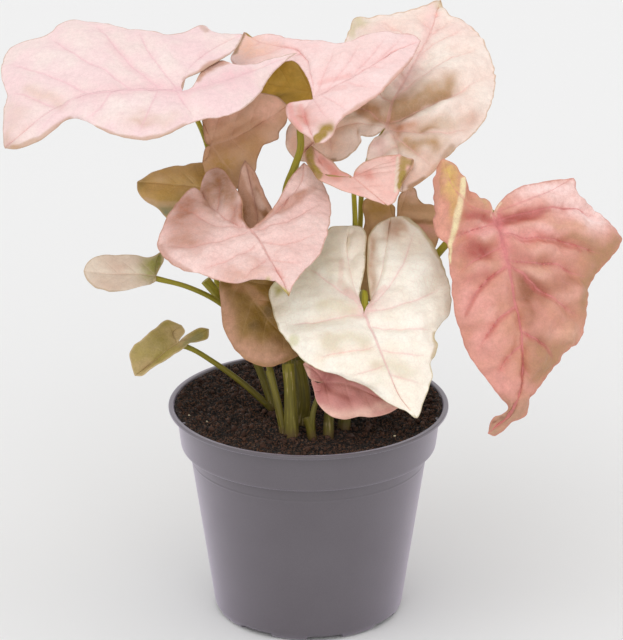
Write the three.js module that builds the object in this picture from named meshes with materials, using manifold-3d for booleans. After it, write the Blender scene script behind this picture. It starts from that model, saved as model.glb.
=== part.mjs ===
// Arrowhead plant with pink, cream and bronze leaves, in the grey nursery pot it grows in.
// Millimetres, +Z up. The origin is on the pot's axis, on the surface that the pot stands on,
// and the plant's front faces -Y.

import * as THREE from "three";
import { mergeVertices } from "three/addons/utils/BufferGeometryUtils.js";
import Module from "manifold-3d";

// Pot: a thin moulded cone with a collar and a flat lip.
const POT_HEIGHT = 94;
const LIP_RADIUS = 60;
const LIP_THICKNESS = 1.5;
const LIP_INNER_RADIUS = 55.5;
const COLLAR_TOP_RADIUS = 56.7;
const COLLAR_FOOT_RADIUS = 54.8;
const COLLAR_HEIGHT = 17.9;
const BODY_TOP_RADIUS = 51.5;
const BODY_FOOT_RADIUS = 40.8;
const GROUND_RADIUS = 38;
const POT_WALL = 1.2;
const FOOT_HEIGHT = 2.5;
const FOOT_INNER_RADIUS = 34;
const FOOT_COUNT = 8;
const FIRST_FOOT_ANGLE = -12;
const HUB_RADIUS = 8;
const DRAIN_RADIUS = 3;
const DRAIN_CIRCLE = 24;
const POT_SEGMENTS = 48;

// Soil: it fills the pot to just under the lip and is a little higher in the middle.
const SOIL_DROP = 2;
const SOIL_CROWN = 1.6;
const SOIL_LUMP = 0.7;
const SOIL_SECTORS = 40;
const SOIL_RINGS = 8;
const ROOT_DEPTH = 12;
const CLEARANCE = 0.35;

// Leaves.
const BLADE_THICKNESS = 0.7;
const ARCH_REACH = 50;
const STALK_RADIUS = 1.9;
const STALK_TIP_RADIUS = 1;
const STALK_SIDES = 7;
const STALK_STEP = 9;

// Sighting sheet. The foliage is set out on an upright sheet that is square to one line of
// sight, from an eye in front of the plant and a little above it. The sheet passes through the
// middle of the lip and is ruled in steps of SHEET_STEP: columns run to the right, rows
// downwards. A point is a column, a row and how far it stands in front of the sheet, measured
// along the line of sight, so its column and row hold whatever its depth.
const EYE_DISTANCE = 1500;
const SIGHT_FALL = 20.65;
const SHEET_STEP = 3 / 7;
const AXIS_COLUMN = 308.5;
const LIP_ROW = 402.5;
const SIGHT_COLUMN = 311.5;
const SIGHT_ROW = 320;

const fall = THREE.MathUtils.degToRad(SIGHT_FALL);
const RIGHT = new THREE.Vector3(1, 0, 0);
const UPWARD = new THREE.Vector3(0, Math.sin(fall), Math.cos(fall));
const TOWARD = new THREE.Vector3(0, -Math.cos(fall), Math.sin(fall));

function onSheet(column, row) {
  return new THREE.Vector3(0, 0, POT_HEIGHT)
    .addScaledVector(RIGHT, (column - AXIS_COLUMN) * SHEET_STEP)
    .addScaledVector(UPWARD, (LIP_ROW - row) * SHEET_STEP);
}

const EYE = onSheet(SIGHT_COLUMN, SIGHT_ROW).addScaledVector(TOWARD, EYE_DISTANCE);

function sight(column, row, toward) {
  return onSheet(column, row).lerp(EYE, toward / EYE_DISTANCE);
}

// Joined solids are freed of edges and slivers smaller than this.
const SLIVER = 0.02;

const wasm = await Module();
wasm.setup();

function solidFrom(geometry) {
  const bare = geometry.clone();
  bare.deleteAttribute("normal");
  bare.deleteAttribute("uv");
  const merged = mergeVertices(bare, 1e-4);
  return new wasm.Manifold(
    new wasm.Mesh({
      numProp: 3,
      vertProperties: new Float32Array(merged.attributes.position.array),
      triVerts: new Uint32Array(merged.index.array),
    }),
  );
}

function geometryFrom(solid) {
  const mesh = solid.simplify(SLIVER).getMesh();
  const positions = new Float32Array(mesh.numVert * 3);
  for (let i = 0; i < mesh.numVert; i++) {
    const start = i * mesh.numProp;
    positions.set(mesh.vertProperties.subarray(start, start + 3), i * 3);
  }
  const geometry = new THREE.BufferGeometry();
  geometry.setAttribute("position", new THREE.BufferAttribute(positions, 3));
  geometry.setIndex(new THREE.BufferAttribute(new Uint32Array(mesh.triVerts), 1));
  geometry.computeVertexNormals();
  return geometry;
}

function lathe(profile, segments) {
  const points = profile.map(([radius, height]) => new THREE.Vector2(radius, height));
  return new THREE.LatheGeometry(points, segments).rotateX(Math.PI / 2);
}

function upright(radius, bottom, top, x, y) {
  const height = top - bottom;
  return new THREE.CylinderGeometry(radius, radius, height, 16)
    .rotateX(Math.PI / 2)
    .translate(x, y, bottom + height / 2);
}

// Pot.

const COLLAR_FOOT = POT_HEIGHT - COLLAR_HEIGHT;
const FLOOR_TOP = FOOT_HEIGHT + POT_WALL;

function potShell() {
  const lipFoot = POT_HEIGHT - LIP_THICKNESS;
  const profile = [
    [0, 0],
    [HUB_RADIUS, 0],
    [HUB_RADIUS, FOOT_HEIGHT],
    [FOOT_INNER_RADIUS, FOOT_HEIGHT],
    [FOOT_INNER_RADIUS, 0],
    [GROUND_RADIUS, 0],
    [GROUND_RADIUS + 1.9, 1],
    [BODY_FOOT_RADIUS, 3.2],
    [BODY_TOP_RADIUS, COLLAR_FOOT],
    [COLLAR_FOOT_RADIUS - 0.4, COLLAR_FOOT],
    [COLLAR_FOOT_RADIUS, COLLAR_FOOT + 0.5],
    [COLLAR_TOP_RADIUS, lipFoot - 0.4],
    [COLLAR_TOP_RADIUS + 0.5, lipFoot],
    [LIP_RADIUS - 0.4, lipFoot],
    [LIP_RADIUS, lipFoot + 0.4],
    [LIP_RADIUS, POT_HEIGHT - 0.4],
    [LIP_RADIUS - 0.5, POT_HEIGHT],
    [LIP_INNER_RADIUS + 0.3, POT_HEIGHT],
    [LIP_INNER_RADIUS, POT_HEIGHT - 0.4],
    [COLLAR_FOOT_RADIUS - POT_WALL, COLLAR_FOOT + POT_WALL],
    [BODY_TOP_RADIUS - POT_WALL, COLLAR_FOOT - POT_WALL],
    [BODY_FOOT_RADIUS - POT_WALL, FLOOR_TOP],
    [0, FLOOR_TOP],
  ];
  return lathe(profile, POT_SEGMENTS);
}

function pot() {
  let solid = solidFrom(potShell());
  const pitch = (2 * Math.PI) / FOOT_COUNT;
  const notchWidth = 2 * GROUND_RADIUS * Math.sin(pitch / 4);
  const notchReach = 14;
  for (let i = 0; i < FOOT_COUNT; i++) {
    const footAngle = THREE.MathUtils.degToRad(FIRST_FOOT_ANGLE - 90) + i * pitch;
    const notch = new THREE.BoxGeometry(notchReach, notchWidth, 2 * FOOT_HEIGHT)
      .translate(FOOT_INNER_RADIUS - 1 + notchReach / 2, 0, 0)
      .rotateZ(footAngle + pitch / 2);
    solid = solid.subtract(solidFrom(notch));
    const drain = upright(
      DRAIN_RADIUS,
      0,
      FLOOR_TOP + 1,
      DRAIN_CIRCLE * Math.cos(footAngle),
      DRAIN_CIRCLE * Math.sin(footAngle),
    );
    solid = solid.subtract(solidFrom(drain));
  }
  return geometryFrom(solid);
}

// Shoots. Each shoot grows from one foot in the soil. Its sheaths are the thick bases, and a
// stalk runs from its foot to the joint of each blade that it carries. Feet are x and y on the
// soil, and via points are column, row and distance in front of the sheet.

const SHOOTS = [
  {
    name: "shoot_front",
    feet: [
      { x: -10.3, y: -32, radius: 2.4 },
      { x: -7, y: -36, radius: 3.9 },
    ],
    sheaths: [
      { foot: 0, via: [[277, 400, 29], [270, 370, 31]], radius: 2.3, tip: 1.5 },
      { foot: 1, via: [[291, 400, 35], [289, 364, 34]], radius: 3.9, tip: 2.3 },
    ],
    stalks: [
      { leaf: "leaf_centre_left", foot: 0, via: [[270, 370, 31], [257, 305, 25], [247, 256, 33]] },
      { leaf: "leaf_low_centre", foot: 0, via: [[270, 370, 29], [258, 325, 24]] },
      { leaf: "leaf_unfurling", foot: 1, via: [[289, 364, 34], [280, 310, 24], [264, 262, 15]] },
    ],
  },
  {
    name: "shoot_centre",
    feet: [{ x: -2.8, y: -22, radius: 3.9 }],
    sheaths: [{ foot: 0, via: [[304, 395, 25], [299, 360, 26]], radius: 3.9, tip: 2.4 }],
    stalks: [
      {
        leaf: "leaf_top_centre",
        foot: 0,
        via: [
          [299, 360, 25], [283, 270, 19], [286, 190, 17], [294, 168, 19], [300.5, 148, 23],
          [301, 122, 26],
        ],
        tip: 1.5,
      },
      { leaf: "leaf_shaded_left", foot: 0, via: [[297, 365, 24], [262, 300, 12], [236, 205, 4]] },
    ],
  },
  {
    name: "shoot_stub",
    feet: [{ x: 1.6, y: -36.4, radius: 2.8 }],
    sheaths: [{ foot: 0, via: [[308, 418, 36]], radius: 2.8, tip: 1.6 }],
    stalks: [{ leaf: "leaf_front_rose", foot: 0, via: [[313, 413, 37], [320, 392, 38]] }],
  },
  {
    name: "shoot_right_front",
    feet: [{ x: 8.4, y: -35, radius: 2.6 }],
    sheaths: [{ foot: 0, via: [[330, 408, 32], [334, 385, 31]], radius: 2.6, tip: 1.9 }],
    stalks: [
      {
        leaf: "leaf_front_ivory",
        foot: 0,
        via: [[334, 385, 31], [351, 325, 28], [363.5, 293, 35]],
        tip: 1.6,
      },
      {
        leaf: "leaf_centre_small",
        foot: 0,
        via: [[334, 385, 30], [350, 300, 19], [355, 227, 12], [354, 197, 22]],
      },
    ],
  },
  {
    name: "shoot_right",
    feet: [{ x: 15, y: -27, radius: 3.2 }],
    sheaths: [{ foot: 0, via: [[346, 405, 24], [350, 378, 21]], radius: 3.2, tip: 2.2 }],
    stalks: [
      {
        leaf: "leaf_right",
        foot: 0,
        via: [[350, 378, 21], [392, 325, 14], [425, 271, 12], [441, 250, 14], [470, 221, 26]],
        tip: 1.6,
      },
      {
        leaf: "leaf_top_right",
        foot: 0,
        via: [[350, 378, 17], [352, 300, 2], [360, 227, -5], [362, 190, -3], [371, 152, 6]],
      },
      { leaf: "leaf_inner_right", foot: 0, via: [[350, 378, 20], [368, 315, 8], [388, 255, -2]] },
    ],
  },
  {
    name: "shoot_side",
    feet: [{ x: -15.6, y: -7.4, radius: 1.9 }],
    sheaths: [
      { foot: 0, via: [[266, 403, 8]], radius: 1.9, tip: 1.5 },
      {
        foot: 0,
        via: [[262, 375, 6], [241, 330, 8], [219, 296, 14], [206, 280, 16]],
        radius: 1.3,
        tip: 1.9,
      },
    ],
    stalks: [
      {
        leaf: "leaf_low_left",
        foot: 0,
        via: [[261, 399, 8], [245, 385, 10], [228, 372, 12], [212, 361, 14], [194, 350, 17]],
      },
      {
        leaf: "leaf_far_left",
        foot: 0,
        via: [[262, 375, 6], [248, 330, 10], [220, 303, 17], [188, 287, 22]],
      },
    ],
  },
  {
    name: "shoot_back",
    feet: [{ x: -5, y: 4, radius: 3.6 }],
    sheaths: [{ foot: 0, via: [[291, 380, -3], [286, 350, -3]], radius: 3.6, tip: 2.2 }],
    stalks: [
      {
        leaf: "leaf_top_left",
        foot: 0,
        via: [[286, 350, -3], [246, 270, -9], [222, 205, -9], [207, 145, 0], [198, 122, 14]],
      },
      {
        leaf: "leaf_left_olive",
        foot: 0,
        via: [[286, 350, -4], [240, 318, -6], [218, 286, -8], [215, 240, -7]],
      },
      {
        leaf: "leaf_back_olive",
        foot: 0,
        via: [[288, 350, -5], [284, 250, -9], [294, 178, -12], [305, 130, -14]],
      },
    ],
  },
];

// Blades. Every blade has a joint where its stalk ends, a rib from there to the tip, and two
// halves. A half has a basal lobe: `inner` is its edge from the joint to the lobe's end along
// the notch, `vein` the vein in the middle of the lobe, and `outer` its edge from the lobe's end
// to the tip. Left and right are as seen from above, looking from the joint to the tip. Points
// are column and row, and a third number lifts the point towards the eye. `stand` is how far the
// joint stands in front of the sheet, `slope` how much nearer the blade comes for each
// millimetre that it drops on the sheet, and `turn` for each millimetre to the right. The blade
// bends back by `arch` at ARCH_REACH from the joint. Between rib and edge each half bulges by
// `dome`, its edge is bent forward by `fold` and ripples by `wave`. Its rows run out to equal
// steps of the outer edge, and a `lead` under 1 carries them further on towards the tip.

const BLADES = [
  {
    name: "leaf_top_left",
    colour: 0xf3c6cb,
    fine: true,
    joint: [182, 91],
    stand: 40,
    slope: 1.25,
    turn: -0.05,
    arch: 8,
    fold: -1,
    dome: 4,
    wave: 1.6,
    rib: [[153, 90], [114, 91, 2], [82, 96, 2], [45, 115], [18, 137]],
    tip: [4, 148, -3],
    left: {
      inner: [
        [190, 88.5], [195, 82.5], [198.5, 76, -1], [204, 68.5, -2], [212, 63.5, -3], [221, 61, -3],
        [230, 63, -1], [238, 65], [256, 63, 1], [277, 57, 3],
      ],
      vein: [[212, 84], [250, 72], [276, 61.5, 2]],
      lobe: [297, 53, 6],
      outer: [
        [290, 57.8, 4], [279.5, 66.5, 2], [268, 79], [259, 94], [244, 108], [225, 116],
        [204, 119], [184, 126], [163, 136], [143, 140], [118, 136],
        [98, 128], [82, 119], [67, 120], [53, 131], [38, 142],
        [16, 149],
      ],
    },
    right: {
      inner: [
        [181.3, 87], [183.5, 81], [189, 76.8], [199, 73], [213, 64.5], [224, 58], [232, 52],
        [239, 44],
      ],
      vein: [[190, 68], [215, 48]],
      lobe: [243, 35],
      outer: [
        [224, 34], [212, 32], [204, 25.5], [190, 30], [169, 35], [143, 30], [112, 24.5], [88, 20],
        [71, 20], [59, 25], [48, 34], [31, 39], [14, 45], [5, 54], [2, 65], [2, 80], [6, 95],
        [4, 112], [3, 131],
      ],
    },
  },
  {
    name: "leaf_top_centre",
    colour: 0xecaaae,
    fine: true,
    joint: [313, 99],
    stand: 31,
    slope: 1.2,
    turn: 0.25,
    arch: 8,
    fold: 3,
    dome: 3,
    wave: 1,
    rib: [[340, 84, 1], [368, 68, 1], [398, 50]],
    tip: [421, 41],
    left: {
      lead: 0.7,
      inner: [
        [311, 89], [306, 76], [300, 66], [292, 60.5], [280, 62], [262, 66], [242, 67], [231, 61],
        [236, 47],
      ],
      vein: [[313, 82], [310, 64], [300, 51.5], [280, 46.5], [260, 42.5]],
      lobe: [244, 32],
      outer: [
        [251, 37.5], [262, 35], [278, 36], [292, 40], [318, 40], [341, 44], [355, 40], [373, 34],
        [396, 33], [413, 35],
      ],
    },
    right: {
      inner: [[300, 101], [288, 103], [286, 112], [289, 121], [297, 130], [306, 136]],
      vein: [[304, 111], [308, 126]],
      lobe: [316, 144],
      outer: [
        [323, 143.5], [330, 139], [334, 133], [336.5, 126], [343, 118], [352, 113], [363, 106],
        [379, 94.5], [397, 77], [412, 59],
      ],
    },
  },
  {
    name: "leaf_top_right",
    colour: 0xf0cdbf,
    fine: true,
    joint: [386, 127],
    stand: 13,
    slope: 0.85,
    turn: 0,
    arch: 9,
    fold: -1,
    dome: 4.5,
    wave: 2,
    rib: [[391, 107, 2], [399, 91, 2], [409, 72, 2], [418, 56, 1], [430, 33]],
    tip: [441, 0.5, -2],
    left: {
      inner: [
        [379, 132.5], [372, 137.3], [366, 137], [360.5, 135.5], [361.5, 141], [356, 149],
        [346, 157, -2], [334, 161.5, -4], [316, 163, -6],
      ],
      vein: [[352, 124], [325, 135, -2], [308, 148, -5]],
      lobe: [297, 162, -7],
      outer: [
        [288, 150, -6], [286, 131, -4], [296, 118, -3], [316, 104, -2], [331, 82, -1], [338, 60],
        [344, 43], [350, 31],
        [354.5, 19], [363, 17.5], [380, 16.5], [402, 13], [421, 7.5], [433, 3],
      ],
    },
    right: {
      inner: [[380.5, 134], [373.5, 139.5], [369, 147], [366.5, 160], [373, 176], [388, 188]],
      vein: [[396, 143, 2], [400, 166]],
      lobe: [402, 192],
      outer: [
        [411, 188.5], [422, 181.5], [435, 171], [443.5, 160.5], [454, 151.5], [457, 147],
        [466, 141], [475, 133], [484, 121], [490, 108], [494.5, 92], [495, 76], [493, 61],
        [487, 46], [477, 32], [466, 22], [450, 15], [443, 8],
      ],
    },
  },
  {
    name: "leaf_centre_small",
    colour: 0xe9aa9f,
    fine: false,
    joint: [353, 177],
    stand: 39,
    slope: 0.7,
    turn: 0,
    arch: 12,
    fold: 2,
    dome: 1.5,
    wave: 0.3,
    rib: [[364, 186], [377, 197]],
    tip: [388, 205.5],
    left: {
      inner: [[355, 170], [362, 163], [372, 158.5], [385, 156]],
      vein: [[368, 170], [383, 163]],
      lobe: [398, 155.5, -1],
      outer: [
        [406, 157.5, -1], [413.5, 159, -1], [413, 167, -1], [406, 177, -2], [400.5, 187, -2],
        [397.5, 196, -2], [394, 203, -1],
      ],
    },
    right: {
      inner: [[348, 174], [341, 171], [333, 162], [322, 154]],
      vein: [[342, 181], [326, 170]],
      lobe: [311, 145, -2],
      outer: [
        [306, 151, -4], [305, 159, -4], [312, 171, -3], [320, 181, -2], [329, 185, -1], [340, 190],
        [351, 193.5], [363, 197], [376, 202],
      ],
    },
  },
  {
    name: "leaf_centre_left",
    colour: 0xe6a79c,
    fine: true,
    joint: [250, 229],
    stand: 51,
    slope: 1.15,
    turn: 0.05,
    arch: 7,
    fold: 1,
    dome: 3.5,
    wave: 1,
    rib: [[260, 242, 1], [275, 268, 1], [284, 284]],
    tip: [289, 296],
    left: {
      inner: [[257, 222], [267, 213.5], [275, 205, 1], [284, 189, 4], [292, 175, 7]],
      vein: [[263, 221.5], [274, 213], [287, 201], [301, 184, 5]],
      lobe: [304, 162, 8],
      outer: [
        [314, 172, 6], [323, 183, 3], [329, 198], [331, 212], [328, 230], [318, 257], [302, 273], [294, 283],
      ],
    },
    right: {
      inner: [
        [246, 224.5], [243, 218, 1.5], [243, 210, 3], [241, 198, 4],
        [233, 184, 4], [224, 171, 3], [216, 167, 2], [208, 170, 2],
        [203, 178, 1],
      ],
      vein: [[238, 224, -1], [228, 219, -2], [214, 208, -3], [205, 198, -2]],
      lobe: [200, 190],
      outer: [
        [192, 188.5], [180, 199], [171, 212], [161, 230], [157, 243], [160, 252], [167, 260],
        [183, 270], [200, 274], [223, 282], [238, 283], [259, 279], [269, 277.5], [277, 283],
        [283, 290],
      ],
    },
  },
  {
    name: "leaf_shaded_left",
    colour: 0xb98a72,
    fine: false,
    joint: [211, 145],
    stand: 14,
    slope: 0.3,
    turn: 0,
    arch: 7,
    fold: -1,
    dome: 2,
    wave: 0.3,
    rib: [[236, 137], [262, 122]],
    tip: [289, 105],
    left: {
      inner: [[206, 143]],
      vein: [[208, 133]],
      lobe: [202, 120],
      outer: [[206, 108], [222, 99], [248, 94], [273, 95]],
    },
    right: {
      inner: [[206, 147]],
      vein: [[208, 157, -1]],
      lobe: [202, 163, -3],
      outer: [
        [207, 176, -4], [220, 186, -5], [240, 188, -3], [252, 178, -1], [258, 160], [262, 145],
        [271, 142], [278.5, 139], [279.5, 132], [286, 123],
      ],
    },
  },
  {
    name: "leaf_unfurling",
    colour: 0xb58878,
    fine: false,
    joint: [258, 234],
    stand: 26,
    slope: 0.12,
    turn: 0,
    arch: 6,
    fold: 3,
    dome: 1,
    wave: 0,
    rib: [[257, 215, 1], [252, 190, 1]],
    tip: [245, 160],
    left: {
      inner: [[253, 238]],
      vein: [[251, 234]],
      lobe: [245, 237],
      outer: [[239, 215], [238, 190], [240, 171]],
    },
    right: {
      inner: [[263, 235]],
      vein: [[264, 229]],
      lobe: [270, 229],
      outer: [[273, 211], [268, 201], [262, 188], [254, 170]],
    },
  },
  {
    name: "leaf_left_olive",
    colour: 0xa9894f,
    fine: false,
    joint: [215, 190],
    stand: 4,
    slope: 0.5,
    turn: -0.2,
    arch: 10,
    fold: 1,
    dome: 1.5,
    wave: 0.3,
    rib: [[190, 186], [165, 184]],
    tip: [137, 182],
    left: {
      inner: [[217, 196]],
      vein: [[213, 198]],
      lobe: [213, 206],
      outer: [[196, 215, -4], [180, 220, -6], [168, 219, -6], [157, 208, -2], [146, 201], [138, 192]],
    },
    right: {
      inner: [[219, 185]],
      vein: [[217, 181]],
      lobe: [221, 173],
      outer: [[205, 164], [183, 165], [166, 168], [152, 173], [143, 179]],
    },
  },
  {
    name: "leaf_far_left",
    colour: 0xe6d3c3,
    fine: false,
    joint: [156, 276],
    stand: 25,
    slope: 0.8,
    turn: 0,
    arch: 14,
    fold: 2,
    dome: 1,
    wave: 0.3,
    rib: [[135, 274], [108, 274]],
    tip: [84, 272],
    left: {
      inner: [[156, 281]],
      vein: [[153, 280]],
      lobe: [151, 284],
      outer: [[142, 286], [132, 289], [117, 291.5], [97, 288], [87, 280]],
    },
    right: {
      inner: [[160, 268], [164, 259]],
      vein: [[156, 265]],
      lobe: [161, 252],
      outer: [[150, 257], [137, 255], [118, 255], [100, 256], [89, 262]],
    },
  },
  {
    name: "leaf_low_left",
    colour: 0xa8956a,
    fine: false,
    joint: [178, 343],
    stand: 20,
    slope: 0.5,
    turn: 0,
    arch: 16,
    fold: 3,
    dome: 1,
    wave: 0.3,
    rib: [[165, 352], [150, 364]],
    tip: [135, 376],
    left: {
      inner: [[183, 338], [190, 333], [200, 328]],
      vein: [[187, 339], [198, 335]],
      lobe: [209, 329],
      outer: [
        [208, 338], [199, 341.5], [190, 343], [184, 349], [172, 356], [163, 362], [152, 368], [142, 376],
      ],
    },
    right: {
      inner: [[181, 338], [185, 332]],
      vein: [[173, 333]],
      lobe: [182, 326],
      outer: [[174, 322], [167, 319.5], [156, 327], [145, 337], [134, 347], [130, 353], [132, 366]],
    },
  },
  {
    name: "leaf_low_centre",
    colour: 0xae8461,
    fine: false,
    joint: [240, 280],
    stand: 34,
    slope: 0.3,
    turn: 0,
    arch: 12,
    fold: 1,
    dome: 2,
    wave: 0.5,
    rib: [[258, 305], [280, 332]],
    tip: [308, 353],
    left: {
      inner: [[247, 273]],
      vein: [[251, 276]],
      lobe: [258, 264],
      outer: [[275, 275, -2], [290, 300, -3], [303, 330, -2]],
    },
    right: {
      inner: [[233, 278]],
      vein: [[231, 281]],
      lobe: [222, 271],
      outer: [
        [220, 286], [221, 305], [225, 330], [235, 350], [250, 362], [265, 367], [280, 364], [296, 357],
      ],
    },
  },
  {
    name: "leaf_front_ivory",
    colour: 0xf3e9dc,
    fine: true,
    joint: [364, 313],
    stand: 46,
    slope: 0.6,
    turn: -0.1,
    arch: 9,
    fold: -1,
    dome: 4,
    wave: 1.5,
    rib: [[378, 345, 1], [390, 375, 1], [400, 397]],
    tip: [417, 418],
    left: {
      inner: [[369.5, 303], [369, 290], [367.3, 272], [367.6, 250], [369, 236], [377, 226]],
      vein: [[379, 282, 1], [386, 248, 1]],
      lobe: [391, 217],
      outer: [
        [407, 218], [419, 226], [432, 242], [444, 266], [451, 293], [449.5, 311], [441, 324],
        [434.5, 334], [437, 346], [434.5, 356], [429.5, 363], [431.5, 376], [424, 402],
      ],
    },
    right: {
      inner: [[358.5, 302], [360.5, 289], [364.3, 270], [365.6, 250], [366, 234], [361, 227.5]],
      vein: [[353, 284, 1], [347, 250, 1]],
      lobe: [349, 225.7],
      outer: [
        [330.5, 227.3], [320, 247], [300, 264], [284, 276], [270, 287], [269, 295], [273, 312],
        [280, 331], [291, 346], [302, 359], [320, 370], [344, 377], [372, 392], [386, 402],
        [405, 411],
      ],
    },
  },
  {
    name: "leaf_front_rose",
    colour: 0xd98c86,
    fine: false,
    joint: [324, 381],
    stand: 44,
    slope: 0.3,
    turn: 0,
    arch: 9,
    fold: 0,
    dome: 1,
    wave: 0.3,
    rib: [[350, 385], [375, 396]],
    tip: [400, 407],
    left: {
      inner: [[317, 380.5], [310, 377]],
      vein: [[315, 371]],
      lobe: [303, 364],
      outer: [[312, 357], [337, 356], [365, 369], [388, 389]],
    },
    right: {
      inner: [[317.5, 384], [311.5, 381]],
      vein: [[320, 391]],
      lobe: [314, 391],
      outer: [[316.5, 401], [322, 409], [330, 415.5], [341, 419], [360, 417], [385, 415]],
    },
  },
  {
    name: "leaf_right",
    colour: 0xe9aba0,
    fine: true,
    joint: [493, 213],
    stand: 38,
    slope: 0.35,
    turn: -0.25,
    arch: 6.5,
    fold: -4,
    dome: 3.5,
    wave: 1.4,
    rib: [
      [502, 238, 1], [508, 264, 2], [515, 300, 2], [521, 330, 2], [523, 355, 1], [522, 381],
      [518, 399], [510, 415],
    ],
    tip: [488, 434],
    left: {
      inner: [[499, 203], [516, 189], [542, 182]],
      vein: [[520, 203, 1], [548, 192]],
      lobe: [574, 178],
      outer: [
        [577, 192, -1], [590, 205, -3], [606, 219, -4], [622, 238, -5], [619, 246, -5],
        [609, 260, -4], [598, 273, -4], [591, 286, -3], [587, 313, -3], [582, 338, -3],
        [566, 353], [551, 372], [538, 387], [530.5, 398], [528, 408], [524, 416], [513, 422],
        [504, 431], [495, 436],
      ],
    },
    right: {
      inner: [[491.5, 206], [488, 200], [479.5, 198.5], [472, 191, 1], [462, 175], [453, 162]],
      vein: [[470, 205, 4], [452, 185, 4]],
      lobe: [443, 159, -2],
      outer: [
        [436, 169, -4], [434, 190, -5], [434, 215, -5], [436, 230, -4], [441, 240, -3],
        [447.5, 244, -2], [449.5, 258, -1], [451, 285], [457, 322], [473, 362], [483, 374],
        [493, 387], [500, 397], [508, 408], [503, 412], [495, 416], [490, 423],
      ],
    },
  },
  {
    name: "leaf_inner_right",
    colour: 0xb98468,
    fine: false,
    joint: [396, 224],
    stand: 4,
    slope: 0.3,
    turn: 0,
    arch: 10,
    fold: 0,
    dome: 1,
    wave: 0.3,
    rib: [[398, 250], [396, 278]],
    tip: [391, 310],
    left: {
      inner: [[397, 214], [397.2, 206], [399, 196]],
      vein: [[401, 210], [405, 198]],
      lobe: [408, 187],
      outer: [
        [415, 189], [418, 198], [424, 204], [432, 205], [438, 210], [442, 222], [438, 241],
        [424, 274],
      ],
    },
    right: {
      inner: [[395.2, 214], [395, 207]],
      vein: [[391, 212]],
      lobe: [390, 202.5],
      outer: [
        [377, 200], [366, 199], [362.5, 207], [365, 222], [361, 240], [357.5, 262], [358, 284],
        [371, 303],
      ],
    },
  },
  {
    name: "leaf_back_olive",
    colour: 0xa98a52,
    fine: false,
    joint: [311, 92],
    stand: -7,
    slope: 0.5,
    turn: 0,
    arch: 9,
    fold: 1,
    dome: 1,
    wave: 0.3,
    rib: [[282, 86], [248, 82]],
    tip: [212, 83],
    left: {
      inner: [[316, 97]],
      vein: [[315, 101]],
      lobe: [320, 110, 2],
      outer: [[298, 115], [268, 111], [236, 99]],
    },
    right: {
      inner: [[317, 87]],
      vein: [[318, 80]],
      lobe: [324, 68],
      outer: [[306, 51], [274, 50], [246, 57], [226, 69]],
    },
  },
];

const FINE = { veinSteps: 6, ribSteps: 9, innerColumns: 2, outerColumns: 4, waves: 9 };
const PLAIN = { veinSteps: 3, ribSteps: 6, innerColumns: 1, outerColumns: 3, waves: 6 };

function bladePoint(blade, [column, row, lift = 0]) {
  const drop = (row - blade.joint[1]) * SHEET_STEP;
  const aside = (column - blade.joint[0]) * SHEET_STEP;
  const nearer = blade.slope * drop + blade.turn * aside;
  const reach = Math.hypot(drop, aside, nearer) / ARCH_REACH;
  const toward = blade.stand + nearer - blade.arch * reach * reach + lift;
  return sight(column, row, toward);
}

function smoothThrough(points) {
  return new THREE.CatmullRomCurve3(points, false, "centripetal");
}

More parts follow.
